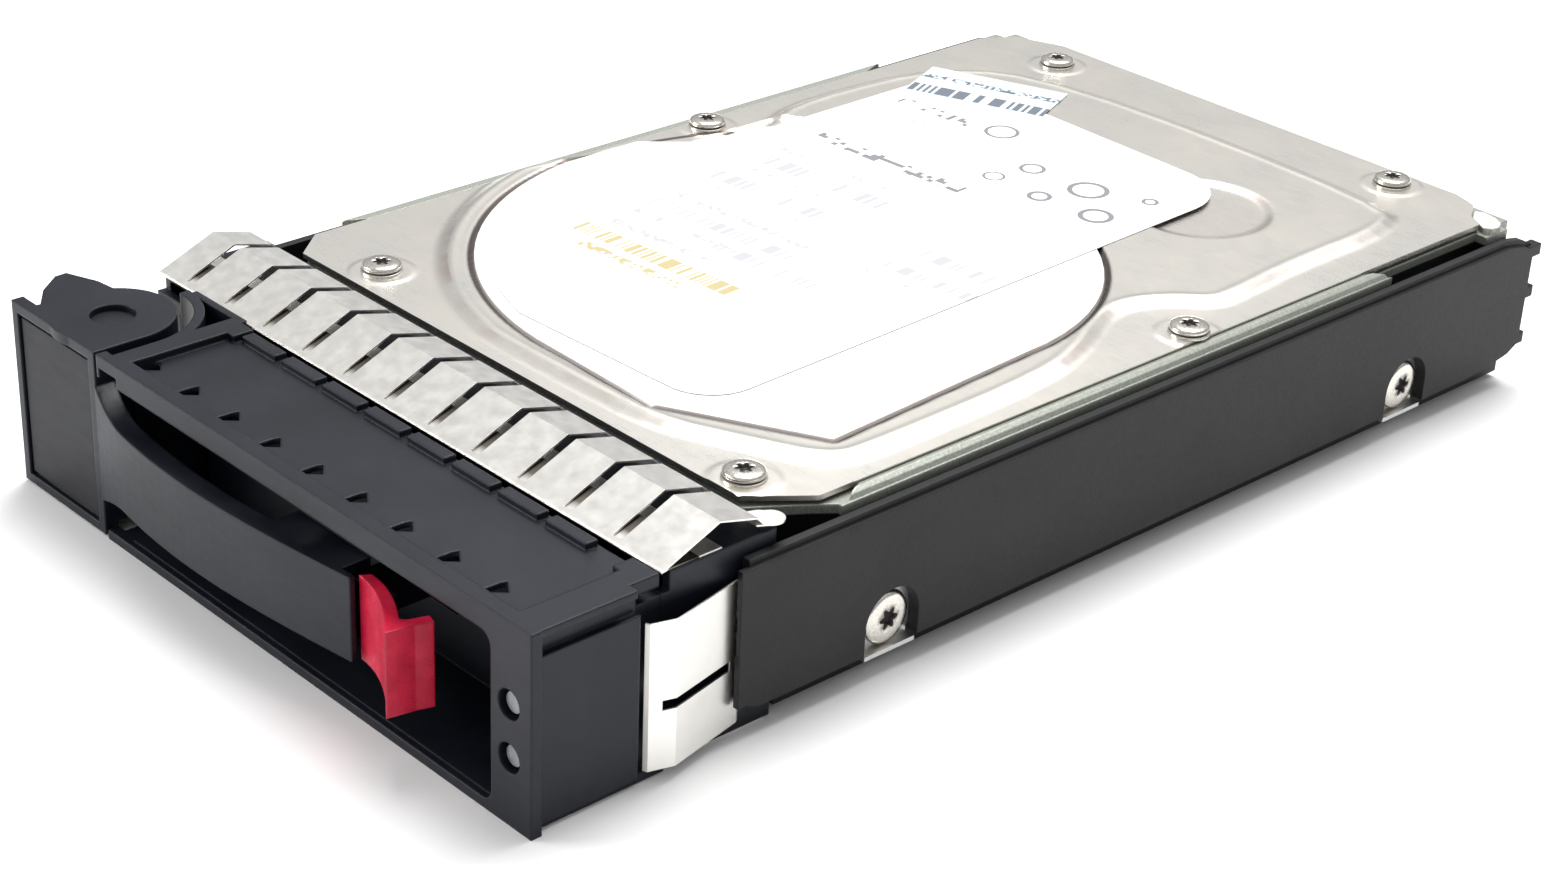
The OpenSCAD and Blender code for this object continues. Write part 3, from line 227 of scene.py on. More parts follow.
# Camera: a long lens at the right front corner, a little rolled
turn, rise, roll = map(math.radians, (46.226, 27.307, 2.49))
back = Vector((math.sin(turn) * math.cos(rise), -math.cos(turn) * math.cos(rise), math.sin(rise)))
level = Vector((math.cos(turn), math.sin(turn), 0))
over = back.cross(level)
right = math.cos(roll) * level + math.sin(roll) * over
above = -math.sin(roll) * level + math.cos(roll) * over
aim = Vector((drive_x, drive_y + 0.085, 0.015))
camera = bpy.data.objects.new("camera", bpy.data.cameras.new("camera"))
camera.data.sensor_width, camera.data.lens = 36.0, 69.746
camera.data.clip_start, camera.data.clip_end = 0.01, 50
place = aim - 0.028204 * right - 0.02322 * above + 0.4339 * back
camera.matrix_world = Matrix.Translation(place) @ Matrix((right, above, back)).transposed().to_4x4()
bpy.context.scene.collection.objects.link(camera)
bpy.context.scene.camera = camera
bpy.context.scene.view_settings.view_transform = "Standard"

# ---------------------------------------------------------------- bezel and lever
# Moulded glass-filled nylon, near black with a blue-grey sheen. The mould is spark-eroded, so its
# faces carry a fine even grain, and its edges are slightly rounded.
def dress(finish, *nodes):
    """The carried-over CAD nodes take the finish, every face of them."""
    for name in nodes:
        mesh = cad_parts[name].data
        mesh.materials.clear()
        mesh.materials.append(finish)


def moulded(name, dark, light, rough, grain_scale=5.5, edge_mm=0.25):
    """Fine grain from small noise, a slow cloud in the colour, and a softened edge."""
    m = Finish(name)
    p = m.place()
    grain = m.noise(p, grain_scale, 4.0, 0.62)
    cloud = m.noise(p, 0.09, 3.0)
    marks = m.noise(m.add("ShaderNodeMapping", Vector=p, Scale=(0.25, 2.2, 1.4)), 0.8, 5.0, 0.7)
    tone = (cloud * 0.6 + grain * 0.4).ramp(0.35, 0.68)
    gloss = (marks * 0.5 + grain * 0.5).ramp(0.3, 0.7, rough + 0.08, rough - 0.06)
    return m.set(Base_Color=m.mix(tone, dark, light), Roughness=gloss, Specular_IOR_Level=0.30,
                 Normal=m.rounded(edge_mm, grain, 0.22, 0.06))


bezel_finish = moulded("bezel_nylon", (0.0035, 0.0046, 0.0085), (0.0100, 0.0130, 0.0215), 0.40, 5.5, 0.45)
dress(bezel_finish, "bezel", "lever", "shield_neck", "release_latch")
dress(moulded("label_plate_film", (0.0060, 0.0065, 0.0095), (0.0110, 0.0120, 0.0165), 0.50, 9.0),
      "label_plate")

# ---------------------------------------------------------------- rails
# Two side rails in a slightly greyer black plastic, with a dull even face. Each has a cut-out round
# its two side screws and three prongs at the rear.
dress(moulded("rail_nylon", (0.0050, 0.0050, 0.0060), (0.0115, 0.0115, 0.0135), 0.48, 4.0), "left_rail",
      "right_rail")

# ---------------------------------------------------------------- release button
# Crimson moulded plastic with a satin face and slightly lighter patches. It is a thin flared wall
# that turns back at its tip.
red = Finish("button_crimson")
red_place = red.place()
red_grain = red.noise(red_place, 4.5, 3.0)
dress(red.set(Base_Color=red.mix(red.noise(red_place, 0.35, 3.0).ramp(0.3, 0.7), (0.50, 0.006, 0.035),
                                 (0.68, 0.016, 0.060)),
              Roughness=red_grain.ramp(0.3, 0.7, 0.36, 0.26), Subsurface_Weight=0.05,
              Normal=red.rounded(0.35, red_grain, 0.12, 0.05)), "release_button")


# ---------------------------------------------------------------- bright metals
# Rolled and plated steels: spring fingers, frame, screws and pins. Rolling leaves fine lines along
# one direction, and the plating clouds a little.
def rolled(name, dark, light, rough, along=(0.12, 3.0, 3.0), edge_mm=0.08):
    """Fine lines from noise stretched along one axis, over a slow cloud in colour and gloss."""
    m = Finish(name)
    p = m.place()
    lines = m.noise(m.add("ShaderNodeMapping", Vector=p, Scale=along), 4.0, 4.0, 0.6)
    cloud = m.noise(p, 0.14, 4.0, 0.6)
    return m.set(Base_Color=m.mix((cloud * 0.7 + lines * 0.3).ramp(0.35, 0.65), dark, light), Metallic=1.0,
                 Roughness=(lines * 0.5 + cloud * 0.5).ramp(0.3, 0.7, rough - 0.05, rough + 0.09),
                 Normal=m.rounded(edge_mm, lines, 0.06, 0.02))


dress(rolled("shield_spring_steel", (0.84, 0.82, 0.775), (0.92, 0.90, 0.86), 0.34, (3.0, 0.12, 3.0)),
      "emi_left_panel", "emi_right_panel", "emi_bottom_panel")
# The fingers: what lies well below their outer face, seen through the slots, is painted dark as painted
# shade, dull brownish at the front and nearly black further back
spring = Finish("shield_fingers")
spring_place = spring.place()
_, fy, fz = spring.axes(spring_place)
finger_low, finger_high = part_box("emi_top_fingers")
slope_start = (finger_low[1] - drive_y) * 1000
depth = (fy - slope_start) * 0.418 + finger_high[2] * 1000 - 3.6 - fz
slot_shade = depth.ramp(0.28, 0.36) * fy.within(slope_start + 0.4, -12.6)
scuffs = spring.noise(spring_place, 0.5, 5.0, 0.65)
bright = spring.mix(scuffs.ramp(0.35, 0.65), (0.85, 0.83, 0.785), (0.92, 0.90, 0.86))
# Painted shade in the slots: brownish grey at the front, nearly black 5 mm further in
painted_slot_shade = spring.mix(((fy + 18.0) / 5.0).max(0.0).min(1.0), (0.34, 0.31, 0.26), (0.05, 0.045, 0.04))
dress(spring.set(Base_Color=spring.mix(slot_shade, bright, painted_slot_shade), Metallic=1.0,
                 Roughness=scuffs.ramp(0.3, 0.7, 0.30, 0.38),
                 Normal=spring.rounded(0.08, scuffs, 0.05, 0.02)), "emi_top_fingers")
dress(rolled("frame_zinc", (0.62, 0.62, 0.60), (0.78, 0.78, 0.76), 0.34), "carrier_frame")
nickel = rolled("screw_nickel", (0.72, 0.70, 0.66), (0.90, 0.88, 0.84), 0.22, (1, 1, 1), 0.12)
dress(nickel, "board_screws", "clamp_screws")
dress(rolled("pin_steel", (0.50, 0.50, 0.51), (0.66, 0.66, 0.67), 0.28), "spindle_shaft",
      "pivot_shaft", "pivot_bearing", "lever_spring", "button_spring", "yoke_posts")
dress(moulded("pin_black_oxide", (0.004, 0.005, 0.008), (0.010, 0.012, 0.017), 0.42, 7.0), "lever_pivot_pin")
satin = Finish("damper_satin")
satin_grain = satin.noise(satin.place(), 3.5, 4.0, 0.6)
satin_lines = satin.noise(satin.add("ShaderNodeMapping", Vector=satin.place(), Scale=(0.15, 3.0, 1.0)),
                          3.0, 3.0)
dress(satin.set(Base_Color=satin.mix((satin_grain * 0.5 + satin_lines * 0.5).ramp(0.35, 0.65),
                                     (0.80, 0.775, 0.765), (0.86, 0.84, 0.83)),
                Metallic=0.55, Roughness=satin_grain.ramp(0.3, 0.7, 0.48, 0.40),
                Normal=satin.rounded(0.1, satin_lines, 0.05, 0.02)), "damper_plate")

# ---------------------------------------------------------------- cast base
# Die-cast aluminium with a dull green-grey coat and a pebbled face. Below the bands beside the
# cover it is painted nearly black as painted shade, and the post at its rear corner is bright.
cast = Finish("cast_grey_coat")
cast_place = cast.place()
pebble = cast.noise(cast_place, 2.6, 5.0, 0.65)
cx, cy, cz = cast.axes(cast_place)
# Painted shade: everything below 23 mm, under the bands beside the cover, is painted nearly black
above_painted_shade = cz.ramp(23.0, 23.2)
post = cz.ramp(25.1, 25.2) * (cy > 136.5)
bare = cast.mix(pebble.ramp(0.3, 0.7), (0.24, 0.255, 0.22), (0.42, 0.435, 0.39))
tone = cast.mix(above_painted_shade, (0.006, 0.007, 0.007), bare)
dress(cast.set(Base_Color=cast.mix(post, tone, (0.86, 0.85, 0.82)), Metallic=0.55,
               Roughness=pebble.ramp(0.3, 0.7, 0.50, 0.36), Normal=cast.rounded(0.3, pebble, 0.35, 0.09)),
      "base_casting")

# ---------------------------------------------------------------- top cover
# Stamped stainless sheet, 0.7 mm thick. A rounded step lifts the middle above the screwed rim, a
# shallow recess takes the damper plate, and a round dimple lies over the actuator's pivot.
cover_low, cover_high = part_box("top_cover")
plateau_z = cover_high[2] * 1000
land_z = plateau_z - 0.8
cover_half = (cover_high[0] - cover_low[0]) * 500


def put(points_mm):
    """Points in millimetres from the drive's front wall and centre plane, moved into the frame in metres."""
    p = np.asarray(points_mm, float) / 1000.0
    return p + np.array([drive_x, drive_y, 0.0])


def make_mesh(name, points_mm, faces, material):
    """One object at the origin from an array of points in millimetres and an array of faces."""
    mesh = bpy.data.meshes.new(name)
    mesh.from_pydata(put(points_mm).tolist(), [], np.asarray(faces).tolist())
    mesh.polygons.foreach_set("use_smooth", np.full(len(mesh.polygons), True))
    mesh.update()
    piece = bpy.data.objects.new(name, mesh)
    bpy.context.scene.collection.objects.link(piece)
    mesh.materials.append(material)
    return piece


def grid_faces(rows, columns, closed=False):
    """Four-sided faces of a grid of points; a closed grid joins its last column to its first."""
    i, j = np.meshgrid(np.arange(rows - 1), np.arange(columns if closed else columns - 1), indexing="ij")
    k = (j + 1) % columns
    return np.stack([i * columns + j, i * columns + k, (i + 1) * columns + k, (i + 1) * columns + j],
                    -1).reshape(-1, 4)


def corner_line(points, passes=2):
    """A line with its corners cut again and again, each time a quarter from each end of every side."""
    p = np.asarray(points, float)
    for _ in range(passes):
        q = np.roll(p, -1, 0)
        p = np.stack([0.75 * p + 0.25 * q, 0.25 * p + 0.75 * q], 1).reshape(-1, 2)
    return p


def away_from(points, x, y):
    """Distance from each (x, y) to a closed line, negative inside it."""
    a, b = points, np.roll(points, -1, 0)
    best = np.full(x.shape, 1e9)
    inside = np.zeros(x.shape, bool)
    for (ax, ay), (bx, by) in zip(a, b):
        dx, dy = bx - ax, by - ay
        t = np.clip(((x - ax) * dx + (y - ay) * dy) / (dx * dx + dy * dy + 1e-12), 0, 1)
        best = np.minimum(best, np.hypot(x - ax - t * dx, y - ay - t * dy))
        crosses = (ay > y) != (by > y)
        inside ^= crosses & (x < ax + (y - ay) * dx / (dy if dy else 1e-12))
    return np.where(inside, -best, best)


def smooth(v, low, high):
    """0 below low, 1 above high, and a curve that starts and ends level between them."""
    t = np.clip((v - low) / (high - low), 0, 1)
    return t * t * (3 - 2 * t)


def circle_arc(cx, cy, r, a0, a1, n):
    """Points on an arc of radius r, evenly spaced between two angles in degrees."""
    a = np.radians(np.linspace(a0, a1, n))
    return np.stack([cx + r * np.cos(a), cy + r * np.sin(a)], -1)


spindle_y = (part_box("discs")[0][1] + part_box("discs")[1][1]) / 2 * 1000 - drive_y * 1000
step_line = corner_line(np.concatenate([
    circle_arc(0, spindle_y, 52.8, 193, 262, 16),
    [(8.9, 2.4), (23.8, 2.8), (34, 7.4), (46.0, 13.4), (46.7, 23), (46.0, 52.3),
     (42.9, 62.4), (38.4, 71.0), (37.6, 76.0), (40.4, 81.4), (44.8, 85.6), (44.8, 92), (43.6, 104),
     (43.8, 126), (38, 133.5),
     (-26, 133.5), (-44, 122), (-46.6, 92), (-42.4, 81), (-41.8, 70), (-46.8, 62)]]))
damper_left_r, damper_right_r = 47.2, 38.4
cut_x, cut_y = 19.8, 6.8
damper_line = np.concatenate([circle_arc(0, spindle_y, damper_left_r, 172, 266, 60),
                              [(cut_x, cut_y), (40.6, 18.0)],
                              circle_arc(0, spindle_y, damper_right_r, 0, 90, 40),
                              [(-28, 93), (-42, 84), (-42, 64)]])
pivot = ((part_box("pivot_shaft")[0][0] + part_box("pivot_shaft")[1][0]) / 2 - drive_x,
         (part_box("pivot_shaft")[0][1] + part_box("pivot_shaft")[1][1]) / 2 - drive_y)


screw_places = [(-33.4, 5.2), (40.2, 3.9), (-46.4, 74.6), (46.6, 76.6), (-32.4, 137.0), (31.8, 139.8)]


def cover_height(x, y):
    """The rim's level, plus a step that rises smoothly over the last 2.5 mm inside the step line and a low
    bead at that line, plus a seat round each screw, less the damper's recess and the round dimple."""
    step = away_from(step_line, x, y)
    z = land_z + (plateau_z - land_z) * (1 - smooth(step, -2.5, 0.0))
    z += 0.10 * np.exp(-((step + 2.7) / 0.5) ** 2)
    recess = away_from(damper_line, x, y)
    z -= 0.6 * (1 - smooth(recess, 0.35, 0.95))
    # Stamped seats under the screw heads, a little wider than the heads
    for sx_mm, sy_mm in screw_places:
        z += 0.14 * (1 - smooth(np.hypot(x - sx_mm, y - sy_mm), 4.2, 4.7)) * smooth(step, 0.2, 0.9)
    dimple = np.hypot(x - pivot[0] * 1000, y - pivot[1] * 1000)
    z -= 0.5 * (1 - smooth(dimple, 9.2, 11.0))
    return z


def cover_sheet(columns=256, rows=380, drop=0.7):
    """A grid whose rows run between the cover's left and right edges at each y, with a folded-down edge."""
    y = np.linspace(0.3, 144.6, rows)
    left = np.interp(y, [0.3, 5.2, 136, 141.5, 144.6], [-44.6, -cover_half, -cover_half, -45.8, -38.0])
    rightx = np.interp(y, [0.3, 8.0, 138, 139.4, 143.2, 144.6],
                       [43.0, cover_half, cover_half, 46.3, 44.0, 40.0])
    s = np.linspace(0, 1, columns)
    x = left[:, None] + (rightx - left)[:, None] * s[None, :]
    yy = np.repeat(y[:, None], columns, 1)
    z = cover_height(x, yy)
    top = np.stack([x, yy, z], -1)
    # The edge: one more ring of points straight below the outermost one
    ring = np.concatenate([top[0, :-1], top[:-1, -1], top[-1, :0:-1], top[:0:-1, 0]])
    points = np.concatenate([top.reshape(-1, 3), ring, ring - [0, 0, drop]])
    n, m = columns * rows, len(ring)
    k = np.arange(m)
    skirt = np.stack([n + k, n + m + k, n + m + (k + 1) % m, n + (k + 1) % m], -1)
    return points, np.concatenate([grid_faces(rows, columns), skirt])


stainless = Finish("cover_stainless")
sp = stainless.place()
sx, sy, sz = stainless.axes(sp)
rolling = stainless.noise(stainless.add("ShaderNodeMapping", Vector=sp, Scale=(0.10, 3.2, 1.0)), 3.0, 4.0,
                          0.6)
stain = stainless.noise(sp, 0.075, 5.0, 0.62)
flecks = stainless.noise(sp, 1.3, 3.0, 0.7).ramp(0.66, 0.74)
warm = stainless.mix(stain.ramp(0.36, 0.66), (0.93, 0.905, 0.85), (0.83, 0.79, 0.72))
# Painted reflection: the sloping faces of the step are painted a darker pinkish grey in patches
step_reflection_zone = (sz - land_z).ramp(0.1, 0.7) * (1.0 - (sz - land_z).ramp(0.7, 0.79))
cover_with_painted_shade = stainless.mix(step_reflection_zone * stain.ramp(0.40, 0.62) * 0.8, warm, (0.60, 0.48, 0.46))
# Distance outside the damper: the largest of a big circle, a cut corner and a leaning, rounded right side
behind = sy - spindle_y
left_side = (sx.min(0.0) ** 2.0 + behind ** 2.0) ** 0.5 - damper_left_r
cut_corner = (sx - cut_x) * 0.481 - (sy - cut_y) * 0.877
right_side = (sx.max(0.0) ** 2.0 + behind.max(0.0) ** 2.0) ** 0.5 - damper_right_r + behind.min(0.0) * 0.0603
out = left_side.max(cut_corner).max(right_side)
# Painted shade: a dark brown band just outside the damper plate, in the gap round it
groove_shade = out.ramp(-0.1, 0.1) * (1.0 - out.ramp(0.75, 1.0))
cover_with_painted_shade = stainless.mix(groove_shade * 0.9, cover_with_painted_shade, (0.13, 0.105, 0.095))
cover_finish = stainless.set(Base_Color=stainless.mix(flecks * 0.35, cover_with_painted_shade, (0.55, 0.50, 0.44)), Metallic=1.0,
                             Roughness=(rolling * 0.4 + stain * 0.6).ramp(0.3, 0.7, 0.24, 0.36),
                             Normal=stainless.add("ShaderNodeBump", Height=rolling, Strength=0.05,
                                                  Distance=0.00002))
cover = make_mesh("cover_sheet", *cover_sheet(), cover_finish)
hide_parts("top_cover")
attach(cover, "chassis")


# ---------------------------------------------------------------- screws
# Six cover screws with domed heads on round collars, and four low-headed side screws. Each has a
# six-lobe recess and a groove under its head painted near black as painted shade, and a rolled thread.
def turned_screw(rings, recess_r, top, depth, thread_r, thread_l, sides=72):
    """One screw as a grid of rings: the lobed pit, the turned outline given by rings, then a thread whose
    radius follows a wave that climbs round the shank. Returns points, faces and a painted shade value per
    point, high in the pit and under the head."""
    a = np.linspace(0, 2 * math.pi, sides, endpoint=False)
    lobe = recess_r * (0.80 + 0.20 * np.cos(6 * a))
    rows, dirt = [], []
    for share, z, d in ((0.0, top - depth, 1), (0.5, top - depth, 1), (1.0, top - depth * 0.9, 1),
                        (1.03, top - 0.08, 0.9),
                        (1.10, top, 0.3)):
        rows.append(np.stack([share * lobe * np.cos(a), share * lobe * np.sin(a), np.full(sides, z)], -1))
        dirt.append(np.full(sides, d))
    for r, z, d in rings:
        rows.append(np.stack([r * np.cos(a), r * np.sin(a), np.full(sides, z)], -1))
        dirt.append(np.full(sides, d))
    for z in np.linspace(rings[-1][1], -thread_l, 44):
        r = thread_r + 0.09 * np.cos(2 * math.pi * z / 0.6 - a)
        rows.append(np.stack([r * np.cos(a), r * np.sin(a), np.full(sides, z)], -1))
        dirt.append(np.full(sides, 0.2))
    rows.append(np.stack([0 * a, 0 * a, np.full(sides, -thread_l)], -1))
    dirt.append(np.full(sides, 0.2))
    return np.concatenate(rows), grid_faces(len(rows), sides, closed=True), np.concatenate(dirt)


def screw_set(name, node, one, places, frames):
    """The screw repeated at each place; a frame holds the directions of its own x, y and z."""
    points, faces, dirt = one
    every = [points @ np.array(f, float) + np.array(p) for p, f in zip(places, frames)]
    grid = [faces[:, ::-1] + i * len(points) for i in range(len(places))]
    piece = make_mesh(name, np.concatenate(every), np.concatenate(grid), screw_finish)
    layer = piece.data.attributes.new("dirt", "FLOAT", "POINT")
    layer.data.foreach_set("value", np.tile(dirt, len(places)))
    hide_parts(node)
    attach(piece, "chassis")


screw_finish = Finish("screw_nickel_turned")
# Painted shade: the lobed pit and the groove under the head are painted near black, and made duller and less
# metallic
recess_shade_mask = screw_finish.add("ShaderNodeAttribute", {"attribute_name": "dirt"}, out=2)
turning = screw_finish.noise(screw_finish.place(), 3.0, 4.0, 0.6)
screw_finish.set(Base_Color=screw_finish.mix(recess_shade_mask, screw_finish.mix(turning.ramp(0.3, 0.7),
                                                                    (0.60, 0.56, 0.50), (0.86, 0.83, 0.77)),
                                             (0.020, 0.017, 0.015)), Metallic=1.0 - recess_shade_mask * 0.7,
                 Roughness=(turning * 0.5 + recess_shade_mask).ramp(0.2, 1.2, 0.20, 0.60),
                 Normal=screw_finish.add("ShaderNodeBump", Height=turning, Strength=0.08, Distance=0.00003))
screw_finish = screw_finish.material
head_top = cover_high[2] * 1000 + 0.7 - land_z
head_r = 2.85
cover_screw = turned_screw([(0.50 * head_r, head_top - 0.01, 0), (0.72 * head_r, head_top - 0.06, 0),
                            (0.86 * head_r, head_top - 0.17, 0), (0.93 * head_r, head_top - 0.36, 0),
                            (0.94 * head_r, 0.78, 0), (0.92 * head_r, 0.66, 0.4), (0.84 * head_r, 0.60, 1),
                            (0.84 * head_r, 0.48, 1), (0.96 * head_r, 0.44, 0.5), (head_r, 0.36, 0),
                            (head_r, 0.10, 0),
                            (0.97 * head_r, 0.0, 0), (0.5 * head_r, 0.0, 0.3)], 1.2, head_top, 0.55, 1.15,
                            6.4)
across, along_y, up = (1, 0, 0), (0, 1, 0), (0, 0, 1)
screw_set("cover_screw_set", "cover_screws", cover_screw, [(x, y, land_z) for x, y in screw_places],
          [(across, along_y, up)] * 6)
side_low, side_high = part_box("side_screws")
side_z = (side_low[2] + side_high[2]) * 500
seat_x = (side_high[0] - side_low[0]) * 500 - 1.2
side_ys = [(side_low[1] - drive_y) * 1000 + 3.6, (side_high[1] - drive_y) * 1000 - 3.6]
side_screw = turned_screw([(2.0, 1.18, 0), (2.9, 1.08, 0), (3.4, 0.86, 0), (3.6, 0.5, 0), (3.6, 0.1, 0),
                           (3.5, 0.0, 0.2),
                           (1.6, 0.0, 0.3)], 1.45, 1.2, 0.7, 1.20, 4.4)
screw_set("side_screw_set", "side_screws", side_screw,
          [(s * seat_x, y, side_z) for y in side_ys for s in (-1, 1)],
          [((0, s, 0), (0, 0, 1), (s, 0, 0)) for y in side_ys for s in (-1, 1)])

# ---------------------------------------------------------------- labels on the cover
# Printed films. The white one carries grey rules, bar strips and plain round marks, none of which
# spell anything; the silvery one has dark bars; an ochre bar strip lies near the front.
label = Finish("main_label_print")
# The print runs 3.5 degrees askew of the drive, turned about a point near the label's left edge
skew = label.add("ShaderNodeMapping", Vector=label.place(), Rotation=(0, 0, math.radians(-3.5)),
                 Location=(-4.34, -1.88, 0))
lx, ly, lz = label.axes(skew)


def bars(m, x, y, x0, x1, y0, y1, pitch, share=0.5, seed=0.0):
    """Upright bars of uneven width: a cell of the pitch is inked where its own random number is low."""
    cell = (x / pitch).floor()
    dice = m.add("ShaderNodeTexWhiteNoise", {"noise_dimensions": "1D"}, W=cell + seed)
    return (dice < share) * x.within(x0, x1) * y.within(y0, y1)


def dashes(m, x, y, x0, x1, y0, height, seed):
    """A row of small broken marks, like print too fine to read."""
    row = m.add("ShaderNodeTexWhiteNoise", {"noise_dimensions": "2D"},
                Vector=m.add("ShaderNodeCombineXYZ", X=(x / (height * 0.32)).floor(),
                             Y=(y / (height * 0.34)).floor() + seed))
    return (row < 0.42) * x.within(x0, x1) * y.within(y0, y0 + height)


def ring(x, y, cx, cy, r, width):
    """A round line of radius r: inked where the distance from the centre is within width of r."""
    d = ((x - cx) ** 2.0 + (y - cy) ** 2.0) ** 0.5
    return (d - r).abs() < width


grey_ink = bars(label, lx, ly, -32.5, -5.0, 69.5, 73.0, 0.42, 0.42, 3.0)
for strip in ((-31.5, -9.0, 60.2, 63.4, 0.42, 0.4, 7.0), (-29.5, -3.0, 46.8, 49.6, 0.5, 0.34, 11.0),
              (-13.5, 6.0, 42.2, 45.0, 0.5, 0.3, 13.0), (6.0, 21.0, 61.5, 64.5, 0.5, 0.3, 17.0),
              (6.0, 23.0, 55.5, 58.0, 0.5, 0.3, 19.0)):
    grey_ink = grey_ink.max(bars(label, lx, ly, *strip))
for line in ((-33.0, -20.0, 98.5, 1.3, 1.0), (-32.5, -10.0, 75.4, 1.1, 2.0), (-30.0, -3.0, 51.6, 1.7, 4.0),
             (-29.3, -9.0, 43.2, 1.5, 5.0), (-29.0, -8.0, 38.2, 1.5, 6.0), (-31.5, -8.0, 57.6, 1.0, 7.0),
             (2.0, 22.0, 68.6, 1.0, 8.0), (6.0, 22.0, 52.6, 1.0, 9.0), (-32.0, -6.0, 66.6, 1.0, 10.0)):
    grey_ink = grey_ink.max(dashes(label, lx, ly, *line))
dark_ink = dashes(label, lx, ly, -33.0, -19.0, 103.2, 2.6, 21.0)
dark_ink = dark_ink.max(dashes(label, lx, ly, -32.8, -3.0, 82.6, 2.8, 23.0))
for mark in ((-14.0, 106.0, 2.4, 0.30), (-3.5, 91.7, 1.5, 0.22), (5.7, 90.9, 1.5, 0.35),
             (9.0, 98.0, 2.7, 0.40),
             (-1.6, 98.2, 1.7, 0.30), (17.6, 101.4, 1.0, 0.28), (15.6, 91.4, 2.2, 0.40)):
    dark_ink = dark_ink.max(ring(lx, ly, *mark))
rules = (lx.within(-34.8, 20.3) * (((ly - 78.4).abs() < 0.09).max((ly - 65.3).abs() < 0.07))) * 0.7
ochre_ink = bars(label, lx, ly, -30.0, 0.0, 32.8, 36.0, 0.36, 0.55,
                 31.0).max(dashes(label, lx, ly, -25.5, -6.0, 29.6, 1.8, 33.0))
film = label.mix(label.noise(label.place(), 0.06, 2.0), (0.90, 0.90, 0.90), (0.94, 0.94, 0.94))
printed = label.mix(grey_ink.max(rules) * 0.72, film, (0.30, 0.30, 0.33))
printed = label.mix(dark_ink * 0.85, printed, (0.09, 0.09, 0.11))
printed = label.mix(ochre_ink * 0.85, printed, (0.42, 0.33, 0.08))
# Painted shade: the label's cut edges, below its top face, are painted grey, which draws a thin dark outline
# round it
printed = label.mix((lz < plateau_z + 0.105) * 0.9, printed, (0.22, 0.22, 0.23))
dress(label.set(Base_Color=printed, Roughness=0.42, Coat_Weight=0.15, Coat_Roughness=0.2), "main_label")

silver = Finish("asset_sticker_print")
ax, ay, _ = silver.axes(silver.add("ShaderNodeMapping", Vector=silver.place(),
                                    Rotation=(0, 0, math.radians(-21.5))))
tape = silver.mix(silver.noise(silver.place(), 0.3, 3.0), (0.62, 0.74, 0.78), (0.78, 0.86, 0.89))
lines = bars(silver, ax, ay, -200, 200, 114.6, 118.0, 0.5, 0.5,
             2.0).max(dashes(silver, ax, ay, -200, 200, 121.0, 1.6, 4.0))
dress(silver.set(Base_Color=silver.mix(lines * 0.85, tape, (0.07, 0.08, 0.12)), Metallic=0.25,
                 Roughness=0.34), "asset_sticker")

# ---------------------------------------------------------------- status light pipes
# Clear acrylic rods, seen end-on in the bezel as grey lenses. They are slightly cloudy inside and
# glossy on the outside.
pipe = Finish("light_pipe_acrylic")
cloudy = pipe.noise(pipe.place(), 1.2, 2.0)
dress(pipe.set(Base_Color=pipe.mix(cloudy, (0.10, 0.105, 0.11), (0.24, 0.245, 0.25)), Roughness=0.25,
               Coat_Weight=0.6, Coat_Roughness=0.1), "light_pipe_upper", "light_pipe_lower")


# ---------------------------------------------------------------- disc mechanism
# Inside the sealed chamber: sputtered mirror discs, machined aluminium, windings of enamelled
# copper, nickel-plated magnets, a moulded ramp and woven filter cloth.
def plain(name, dark, light, rough, metallic=0.0, scale=1.2, edge_mm=0.12):
    """A quiet finish: one noise drives its colour, gloss and a faint bump."""
    m = Finish(name)
    n = m.noise(m.place(), scale, 4.0, 0.6)
    return m.set(Base_Color=m.mix(n.ramp(0.3, 0.7), dark, light), Metallic=metallic,
                 Roughness=n.ramp(0.3, 0.7, rough + 0.05, rough - 0.05),
                 Normal=m.rounded(edge_mm, n, 0.12, 0.04))


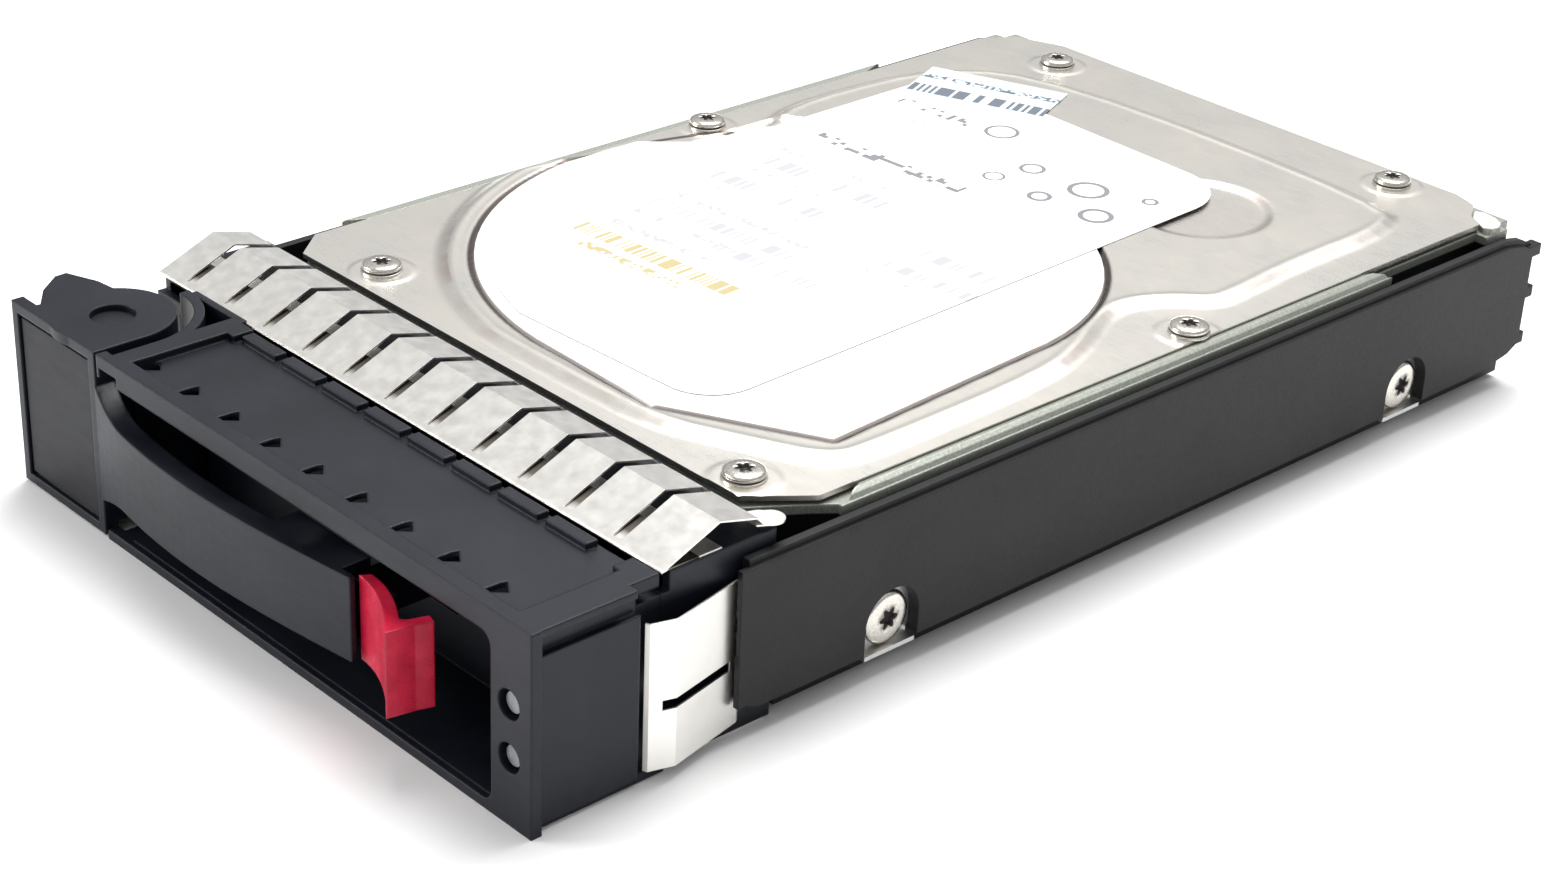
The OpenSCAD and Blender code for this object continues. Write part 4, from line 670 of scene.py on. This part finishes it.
dress(plain("disc_mirror", (0.80, 0.80, 0.82), (0.86, 0.86, 0.88), 0.07, 1.0, 0.1, 0.05), "discs")
dress(plain("machined_aluminium", (0.66, 0.66, 0.68), (0.80, 0.80, 0.82), 0.26, 1.0, 2.0), "spindle_hub",
      "spacer_rings",
      "disc_clamp", "arm_block", "flex_bracket")
dress(plain("copper_winding", (0.55, 0.22, 0.10), (0.78, 0.40, 0.20), 0.30, 0.9, 5.0), "stator_coils",
      "voice_coil")
dress(plain("magnet_nickel", (0.50, 0.50, 0.52), (0.66, 0.66, 0.68), 0.22, 1.0), "rotor_magnet",
      "lower_magnet", "upper_magnet")
dress(plain("yoke_plate", (0.44, 0.44, 0.46), (0.60, 0.60, 0.62), 0.32, 1.0), "lower_yoke", "upper_yoke",
      "stator_core")
dress(plain("suspension_steel", (0.58, 0.56, 0.52), (0.74, 0.72, 0.68), 0.26, 1.0), "suspensions")
dress(plain("slider_ceramic", (0.02, 0.02, 0.022), (0.05, 0.05, 0.055), 0.16), "head_sliders")
dress(plain("ramp_polymer", (0.70, 0.69, 0.64), (0.82, 0.81, 0.76), 0.38), "parking_ramp")
dress(plain("rubber", (0.012, 0.012, 0.012), (0.03, 0.03, 0.03), 0.62), "crash_stops", "cover_gasket")
dress(plain("polyimide_film", (0.42, 0.18, 0.03), (0.60, 0.28, 0.05), 0.28), "flex_cable")
dress(plain("filter_cloth", (0.72, 0.72, 0.70), (0.90, 0.90, 0.88), 0.8, 0.0, 6.0), "recirculation_filter")
dress(plain("filter_housing", (0.03, 0.03, 0.035), (0.06, 0.06, 0.065), 0.5), "breather_filter")

# ---------------------------------------------------------------- electronics under the drive
# Green solder mask over copper traces, black epoxy packages, a black connector shroud and foam.
board = Finish("board_solder_mask")
bx, by, _ = board.axes(board.place())
traces = (bx * 1.1 + by * 0.35).math("FRACT")
dress(board.set(Base_Color=board.mix((traces < 0.28) * 0.6, (0.010, 0.085, 0.045), (0.022, 0.150, 0.080)),
                Roughness=0.32,
                Coat_Weight=0.4, Coat_Roughness=0.15), "circuit_board")
dress(plain("chip_epoxy", (0.012, 0.012, 0.013), (0.03, 0.03, 0.032), 0.5, 0.0, 3.0), "board_chips")
dress(plain("connector_nylon", (0.012, 0.012, 0.013), (0.03, 0.03, 0.032), 0.42), "host_connector")
dress(plain("insulator_foam", (0.05, 0.055, 0.06), (0.10, 0.105, 0.11), 0.8, 0.0, 5.0), "board_insulator")
